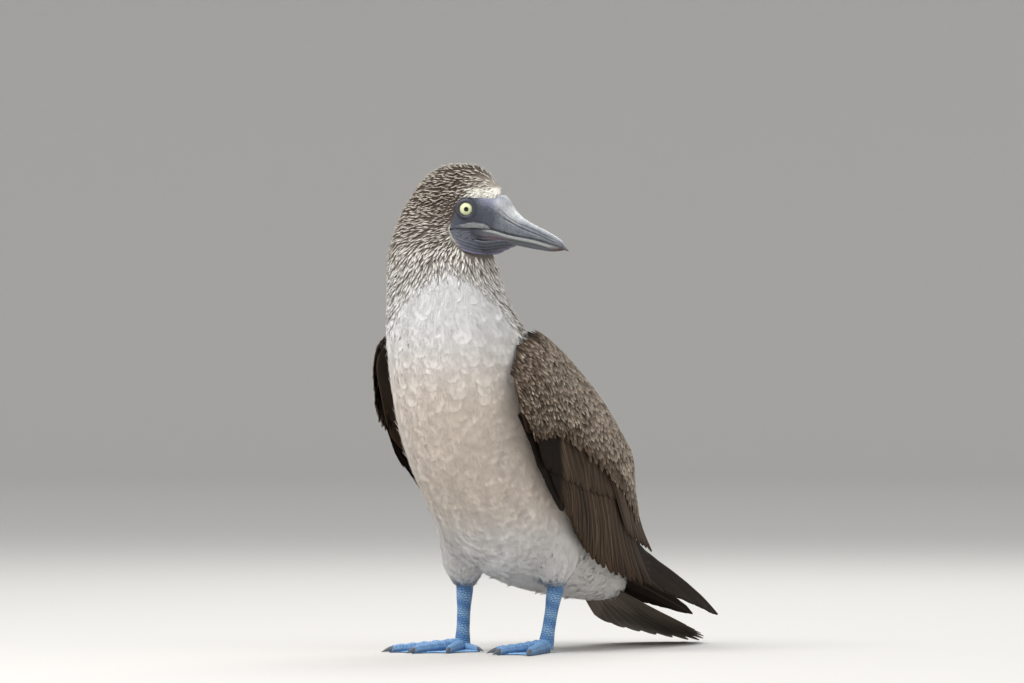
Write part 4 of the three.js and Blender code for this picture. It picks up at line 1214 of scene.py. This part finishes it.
def covert_scales(name, wing):
    """Small coverts over the arm: staggered rows of rounded scales with pale edges, smallest at the
    wrist. A scale is a lens that lies aslant on the wing's sheet, raised more towards its tip."""
    places = []
    p, row = -18.0, 0
    while p < 232:
        gap = np.interp(p, [-20, 30, 100, 232], [2.7, 3.3, 4.2, 5.4])
        low = max(line_at(ARM_FOOT, p) + 2, line_at(COVERT_FOOT, p)) + wing["bare"]
        high = line_at(ARM_TOP, p) + np.interp(p, [-10, 14, 40, 200, 230], [4, 6, 27, 27, 12])
        q = np.arange(low, high, gap) + (row % 2) * gap / 2
        places.append(np.stack([np.full(len(q), p), q], -1) + draws.normal(0, gap * 0.16, (len(q), 2)))
        p += gap * 0.5
        row += 1
    at = np.concatenate(places)
    along, up = at.T
    count = len(at)
    size = np.interp(along, [-20, 30, 100, 232], [0.5, 0.68, 0.95, 1.3]) * draws.normal(1, 0.12, count)
    lean = np.interp(up, [-40, 0, 45], [-46, -36, -18]) - np.interp(along, [-20, 15, 80], [0, 14, 2])
    lean = np.radians(lean) + draws.normal(0, 0.13, count)
    way = np.stack([np.cos(lean), np.sin(lean)], -1)
    side = np.stack([-way[:, 1], way[:, 0]], -1)
    stations = np.array([0, 0.2, 0.55, 0.85, 1.0])
    profile = np.array([0, 0.7, 1, 0.78, 0])
    bed = np.interp(along, [-20, -8, 6, 30, 232], [-2.0, 0.6, 4.0, 4.8, 4.0])
    length, half = 17.5 * size**1.2, 2.7 * size
    line = at[:, None] + way[:, None] * (length[:, None] * stations)[..., None]
    reach = side[:, None] * (half[:, None] * profile)[..., None]
    rise = bed[:, None] - 0.6 + 2.2 * stations + draws.normal(0, 0.25, (count, 1))
    corners = [
        wing_point(wing, *np.moveaxis(line + share * reach, -1, 0), rise + raised)
        for share, raised in ((-1, -SCALE_DROOP), (0, SCALE_THICK), (1, -SCALE_DROOP), (0, -SCALE_THICK))
    ]
    centre = wing_point(wing, *np.moveaxis(line, -1, 0), rise)

    height = centre[:, 0, 2] + 6 * np.sin(0.05 * centre[:, 0, 1])
    bands = 0.35 * np.sin(0.72 * height) * smooth(100, 30, along) * smooth(34, 14, up)
    own = 1 + draws.normal(0, 0.22, (count, 1, 1)) + bands[:, None, None]
    pale = np.interp(up + 0.1 * along, [-50, 0, 40], [0.1, 0.5, 1.0])[:, None, None]
    pale = np.clip(pale + draws.normal(0, 0.3, (count, 1, 1)), 0, 1)
    core = mix(FLIGHT_BLACK, FLIGHT_BROWN, 0.2 + 0.5 * pale)
    near_foot = smooth(16, 0, up - line_at(COVERT_FOOT, along))[:, None, None]
    rim = mix(mix(COVERT_BROWN, COVERT_EDGE, pale), FLIGHT_BROWN, 0.7 * near_foot)
    edge_share, ridge_share = np.array([0, 0.25, 1]), np.array([0, 0, 0.35])
    share = np.stack([edge_share, ridge_share, edge_share, edge_share], -1)[..., None]
    shades = mix(core[:, None], rim[:, None], share) * own[..., None]
    end_shades = np.concatenate([core, rim], 1) * own
    corners = np.stack(corners, 2)[:, 1:-1]
    bake = wing_bake_place(along, up)
    return lenses(name, corners, centre[:, [0, -1]], shades, end_shades, stations, bake)


vane_finish = tinted_material("flight vanes", 0.65, 900, 0.00012, vary=0.16, specular=0.12)
covert_finish = tinted_material("covert scales", 0.8, 1100, 0.00014, vary=0.16, specular=0.15)
for name, wing in WINGS.items():
    blades = [vane for tier in VANE_TIERS for vane in wing_vanes(wing, **tier)]
    rides(blades_mesh(f"wing_vanes_{name}", blades), vane_finish, "brown_plumage", f"wing_{name}")

    v, turn = ring_grid(0.01, 0.99, 60, 48)
    p = mix(-16, 215, v)
    high, low = line_at(ARM_TOP, p), line_at(ARM_FOOT, p)
    close = np.sqrt(np.clip(1 - (2 * v - 1) ** 6, 0, 1))
    q = (high + low) / 2 + (high - low) / 2 * np.cos(turn) * close
    thick = 17 * np.sin(np.pi * (0.12 + 0.76 * v)) ** 0.6
    arm_grid = wing_point(wing, p, q, -thick * 0.5 + (thick * 0.5 - 2.4) * np.sin(turn) * close)
    arm = closed_piece(f"wing_arm_{name}", arm_grid, np.broadcast_to(FLIGHT_DARK, arm_grid.shape))
    rides(arm, covert_finish, "brown_plumage")
    rides(covert_scales(f"wing_coverts_{name}", wing), covert_finish, "brown_plumage")

# Tail. Twelve stiff tail feathers, longest in the middle, leave the rump as a fan and bend until
# their tips lie along the floor.
TAIL_ROOT_Y, TAIL_ROOT_Z = 138, 66
TAIL_LENGTH, TAIL_HALF = 172, 10.5
TAIL_COUNT = 12
TAIL_BAKE_SPAN = 0.06
TAIL_SPREAD = math.radians(25)
TAIL_BROWN = colour("4f453b")
TAIL_PALE = colour("6e6255")
TAIL_SHAFT = colour("93867a")


def tail_point(run, off, lift):
    """A point of the tail's sheet: run is how far it lies from the root, off how far to the left."""
    t = run / TAIL_LENGTH
    y = TAIL_ROOT_Y + run * (0.86 + 0.13 * t)
    z = mix(TAIL_ROOT_Z, 0.35, t) + 16 * t * (t - 1) - 0.0035 * off**2 * np.sqrt(np.clip(1 - t, 0, 1))
    return np.stack([off, y, np.maximum(z + lift, 0.02)], -1)


blades = []
a, face = blade_columns(15)
s = np.linspace(0.01, 0.998, 60)[:, None]
for number in range(TAIL_COUNT):
    place = 2 * number / (TAIL_COUNT - 1) - 1
    aim = place * TAIL_SPREAD
    length = TAIL_LENGTH * (1 - 0.36 * abs(place) ** 1.4)
    across = TAIL_HALF * np.minimum(1, 0.5 + 1.5 * s) * rounded_tip(s, 0.22) * a
    run = length * s * math.cos(aim) - across * math.sin(aim)
    off = length * s * math.sin(aim) + across * math.cos(aim) + place * 7 * (1 - s)
    shaft = ridge(a, 0, 0.06) * (1 - 0.5 * s)
    tile = 0.7 * a * (-1 if place > 0 else 1) * (1 - s)
    barb = 0.05 * np.sin(s * length * 1.2 + np.abs(a) * 12) * (np.abs(a) > 0.1)
    thick = 0.3 * (1 - np.abs(a) ** 3) * np.minimum(1, 12 * (1 - s)) + 0.05
    lift = tile + face * (thick + 0.35 * shaft + barb * 0.5) + 0.9 * (1 - abs(place)) * (1 - s) + 0.6
    blotch = smooth(0.35, 0.75, 0.5 + 0.5 * np.sin(s * 9 + place * 3 + 1.4 * np.sin(a * 2 + number)))
    tint = tinged(TAIL_BROWN, TAIL_PALE, 0.7 * blotch)
    tint = tinged(tint, TAIL_BROWN * 0.75, 0.7 * smooth(0.8, 1, np.abs(a)))
    tint = tinged(tint, TAIL_SHAFT, 0.5 * shaft)
    middle = np.array([0.5 + place * 0.4, 0.5])
    blades.append(blade(tail_point(run, off, lift), tint, a, s, middle, TAIL_BAKE_SPAN))
rides(blades_mesh("tail_feathers", blades), vane_finish, "brown_plumage", "tail")

# Legs and feet. Bright blue scaled shanks stand on broad feet, whose four toes are all joined by webs
# of wrinkled skin and end in grey horny claws.
LEGS = {"left": dict(x=42, y=11, side=1, lean=16), "right": dict(x=-42, y=-11, side=-1, lean=4)}
ANKLE_RISE = 62
# Each toe's direction in degrees out from straight ahead, its length and its half width.
TOES = [(-74, 30, 3.0), (-24, 58, 3.8), (1, 78, 4.2), (26, 80, 4.0)]
CLAW = 9
LEG_BLUE = colour("4f82b8")
LEG_LIGHT = colour("93b8dc")
LEG_GROOVE = colour("213f66")
WEB_BLUE = colour("6496c4")
CLAW_GREY = colour("5a5f66")


def scale_bumps(along, around, pitch, count):
    """Rows of rounded scales: 1 on a scale's crown and 0 in the grooves; every other row is set half over."""
    row = np.floor(along / pitch)
    up = np.abs(2 * (along / pitch - row) - 1)
    side = np.abs(2 * np.mod(around * count / (2 * np.pi) + 0.5 * np.mod(row, 2), 1) - 1)
    return (1 - up**4) * (1 - side**6)


def leg_shape(leg):
    """The shank as rings that lean back to the ankle, widest at both ends, covered with rows of scales."""
    z, turn = ring_grid(3, 78, 300, 132)
    t = (z - 4) / (ANKLE_RISE - 4)
    swell = 1 + 0.28 * smooth(0.55, 1, t) + 0.22 * (1 - smooth(0, 0.35, t))
    warp = 0.5 * np.sin(turn * 3 + z * 0.21) + 0.4 * np.sin(turn * 5 - z * 0.33)
    bumps = scale_bumps(z + warp, turn + 0.07 * np.sin(z * 0.9), 2.2, 13)
    grow = 0.65 * bumps - 0.52
    x = leg["x"] + (5.4 * swell + grow) * np.cos(turn)
    y = leg["y"] + leg["lean"] * t + (7.6 * swell + grow) * np.sin(turn)
    tint = tinged(LEG_GROOVE, tinged(LEG_BLUE, LEG_LIGHT, 0.45 + 0.35 * np.sin(z * 0.4 + turn)), bumps)
    tint = tinged(tint, FRINGE_GREY * 0.6, 0.7 * smooth(58, 68, z))
    return np.stack([x, y, z], -1), tint


def toe_way(leg, turn_degrees):
    """The level direction of a toe."""
    turn = math.radians(turn_degrees)
    return np.array([leg["side"] * math.sin(turn), -math.cos(turn)])


def foot_point(leg, way, run, cross, z):
    """A point of the foot: run along a toe's direction from below the shank, cross to its side, z high."""
    x = leg["x"] + way[0] * run - way[1] * cross
    y = leg["y"] + way[1] * run + way[0] * cross
    return np.stack([x, y, z], -1)


def toe_shape(leg, turn_degrees, length, thick):
    """A toe: a low arched tube with knuckles and cross rows of scales on top, flat below."""
    v, turn = ring_grid(0, 1, 110, 40)
    close = np.sqrt(np.clip(np.minimum(v * 18, (1 - v) * 26), 0.0004, 1))
    knuckle = 1 + 0.09 * np.sin(v * 3.2 * 2 * np.pi) ** 2
    half = thick * mix(1.35, 0.75, v) * knuckle * close
    run = length * v - 3
    bumps = scale_bumps(run, turn, 1.9, 5) * smooth(-0.1, 0.3, np.sin(turn))
    z = np.maximum(half * 1.5 * np.maximum(np.sin(turn), -0.55) + 0.8 * half + 0.32 * bumps - 0.15, 0.0)
    tint = tinged(LEG_GROOVE * 1.2, mix(LEG_BLUE, LEG_LIGHT, 0.55), 0.25 + 0.75 * bumps)
    return foot_point(leg, toe_way(leg, turn_degrees), run, half * np.cos(turn), z), tint


def web_shape(leg, first, second):
    """The web between two toes: a thin leaf with fine wrinkles, its free edge drawn in between the toes."""
    ways = [toe_way(leg, toe[0]) * toe[1] * 0.93 for toe in (first, second)]
    b, a = np.meshgrid(np.linspace(0.04, 1, 60), np.linspace(0, 1, 44), indexing="ij")
    pull = 1 - 0.2 * np.sin(np.pi * a) ** 0.8
    flat = mix(*ways, a[..., None]) * (b * pull)[..., None]
    wrinkle = 0.16 * np.sin(a * 60 + 3 * np.sin(b * 6)) * b + 0.1 * np.sin(b * 46 + a * 5)
    edge = smooth(1.0, 0.96, b)
    top = 1.0 + 1.0 * edge + 0.9 * (1 - b) + (wrinkle - 0.5 * np.sin(np.pi * a)) * edge
    low = np.minimum(0.62, top - 0.25)
    x, y = leg["x"] + flat[..., 0], leg["y"] + flat[..., 1]
    sheets = [np.concatenate([over, under[:, ::-1]], 1) for over, under in ((x, x), (y, y), (top, low))]
    tint = mix(WEB_BLUE, LEG_LIGHT, 0.4 + 1.6 * np.concatenate([wrinkle, wrinkle[:, ::-1]], 1)[..., None])
    return np.stack(sheets, -1), tint


def claw_shape(leg, turn_degrees, length, thick):
    """A claw: a tapering horn that curves down from the toe's end to the floor."""
    v, turn = ring_grid(0, 1, 26, 20)
    half = mix(thick * 0.62, 0.12, v**1.3)
    run = length - 6 + (CLAW + 3) * v
    rise = 3.6 - 2.9 * v**1.8
    z = np.maximum(rise + half * 1.2 * np.sin(turn), 0.02)
    grid = foot_point(leg, toe_way(leg, turn_degrees), run, half * np.cos(turn), z)
    return grid, np.broadcast_to(CLAW_GREY, grid.shape)


def tubes_mesh(name, tubes):
    """Closed tubes, each a (grid, tint) pair, joined as one mesh."""
    tint = np.clip(np.concatenate([with_ends(shade) for _, shade in tubes]), 0, 1)
    return new_mesh(name, *joined_shapes([capped(placed(grid)) for grid, _ in tubes]), tint)


blue_skin = tinted_material("blue scaled skin", 0.48, 800, 0.00018, vary=0.12, specular=0.4)
claw_horn = tinted_material("claw horn", 0.35, 500, 0.0001, vary=0.1)
for name, leg in LEGS.items():
    rides(tubes_mesh(f"scaled_shank_{name}", [leg_shape(leg)]), blue_skin, "blue_skin", f"shank_{name}")
    foot = [toe_shape(leg, *toe) for toe in TOES] + [web_shape(leg, *pair) for pair in zip(TOES, TOES[1:])]
    rides(tubes_mesh(f"webbed_foot_{name}", foot), blue_skin, "blue_skin", f"foot_{name}")
    rides(tubes_mesh(f"claws_{name}", [claw_shape(leg, *toe) for toe in TOES]), claw_horn, "bill")

# Studio. A round pale floor rises at its rim into a wall, under large soft lamps, and the camera
# stands level with the bird's breast, off its left front.
PHOTO_WIDTH = 1024
SCALE = 0.96
VIEW_TURN = math.radians(38)
VIEW_DISTANCE = 7.0
AIM_ACROSS, AIM_UP = 8, 298
floor_profile = np.array(
    [[0.001, 0], [2, 0], [5, 0], [9, 0]]
    + [[9 + 3 * math.sin(a), 3 - 3 * math.cos(a)] for a in np.linspace(0.1, math.pi / 2, 14)]
    + [[12, 5], [12, 7]]
)
turn = np.arange(96) / 96 * 2 * np.pi
floor_grid = np.stack(
    [
        floor_profile[:, :1] * np.cos(turn),
        floor_profile[:, :1] * np.sin(turn),
        floor_profile[:, 1:] + 0 * turn,
    ],
    -1,
)
floor = new_mesh("floor", floor_grid.reshape(-1, 3), grid_faces(*floor_grid.shape[:2])[:, ::-1])
paper = bpy.data.materials.new("pale floor")
paper.use_nodes = True
paper.node_tree.nodes["Principled BSDF"].inputs["Base Color"].default_value = (0.58, 0.56, 0.53, 1)
paper.node_tree.nodes["Principled BSDF"].inputs["Roughness"].default_value = 0.9
floor.data.materials.append(paper)

right_way = np.array([math.cos(VIEW_TURN), math.sin(VIEW_TURN), 0])
back_way = np.array([math.sin(VIEW_TURN), -math.cos(VIEW_TURN), 0])
aim = (STAND + right_way * AIM_ACROSS + np.array([0, 0, AIM_UP])) * MM
lamps = [
    ("key_lamp", -1.3 * right_way + 1.4 * back_way + np.array([0, 0, 2.4]), 1.3, 88),
    ("fill_lamp", 2.2 * right_way + 1.6 * back_way + np.array([0, 0, 1.0]), 2.2, 14),
    ("rim_lamp", 0.6 * right_way - 2.0 * back_way + np.array([0, 0, 2.0]), 1.6, 36),
]
for name, at, size, watts in lamps:
    data = bpy.data.lights.new(name, "AREA")
    data.size = size
    data.energy = watts
    lamp = bpy.data.objects.new(name, data)
    lamp.location = aim + at
    lamp.rotation_euler = Vector(-at).to_track_quat("-Z", "Y").to_euler()
    bpy.context.collection.objects.link(lamp)
world = bpy.data.worlds.new("studio")
world.use_nodes = True
world.node_tree.nodes["Background"].inputs["Color"].default_value = (0.93, 0.96, 1.0, 1)
world.node_tree.nodes["Background"].inputs["Strength"].default_value = 0.86
bpy.context.scene.world = world
bpy.context.scene.view_settings.view_transform = "Standard"

camera_data = bpy.data.cameras.new("camera")
camera_data.sensor_width = 36
camera_data.lens = 36 * VIEW_DISTANCE / (PHOTO_WIDTH * SCALE * MM)
camera_data.clip_end = 60
camera = bpy.data.objects.new("camera", camera_data)
camera.location = aim + back_way * VIEW_DISTANCE
camera.rotation_euler = Vector(-back_way).to_track_quat("-Z", "Y").to_euler()
bpy.context.collection.objects.link(camera)
bpy.context.scene.camera = camera
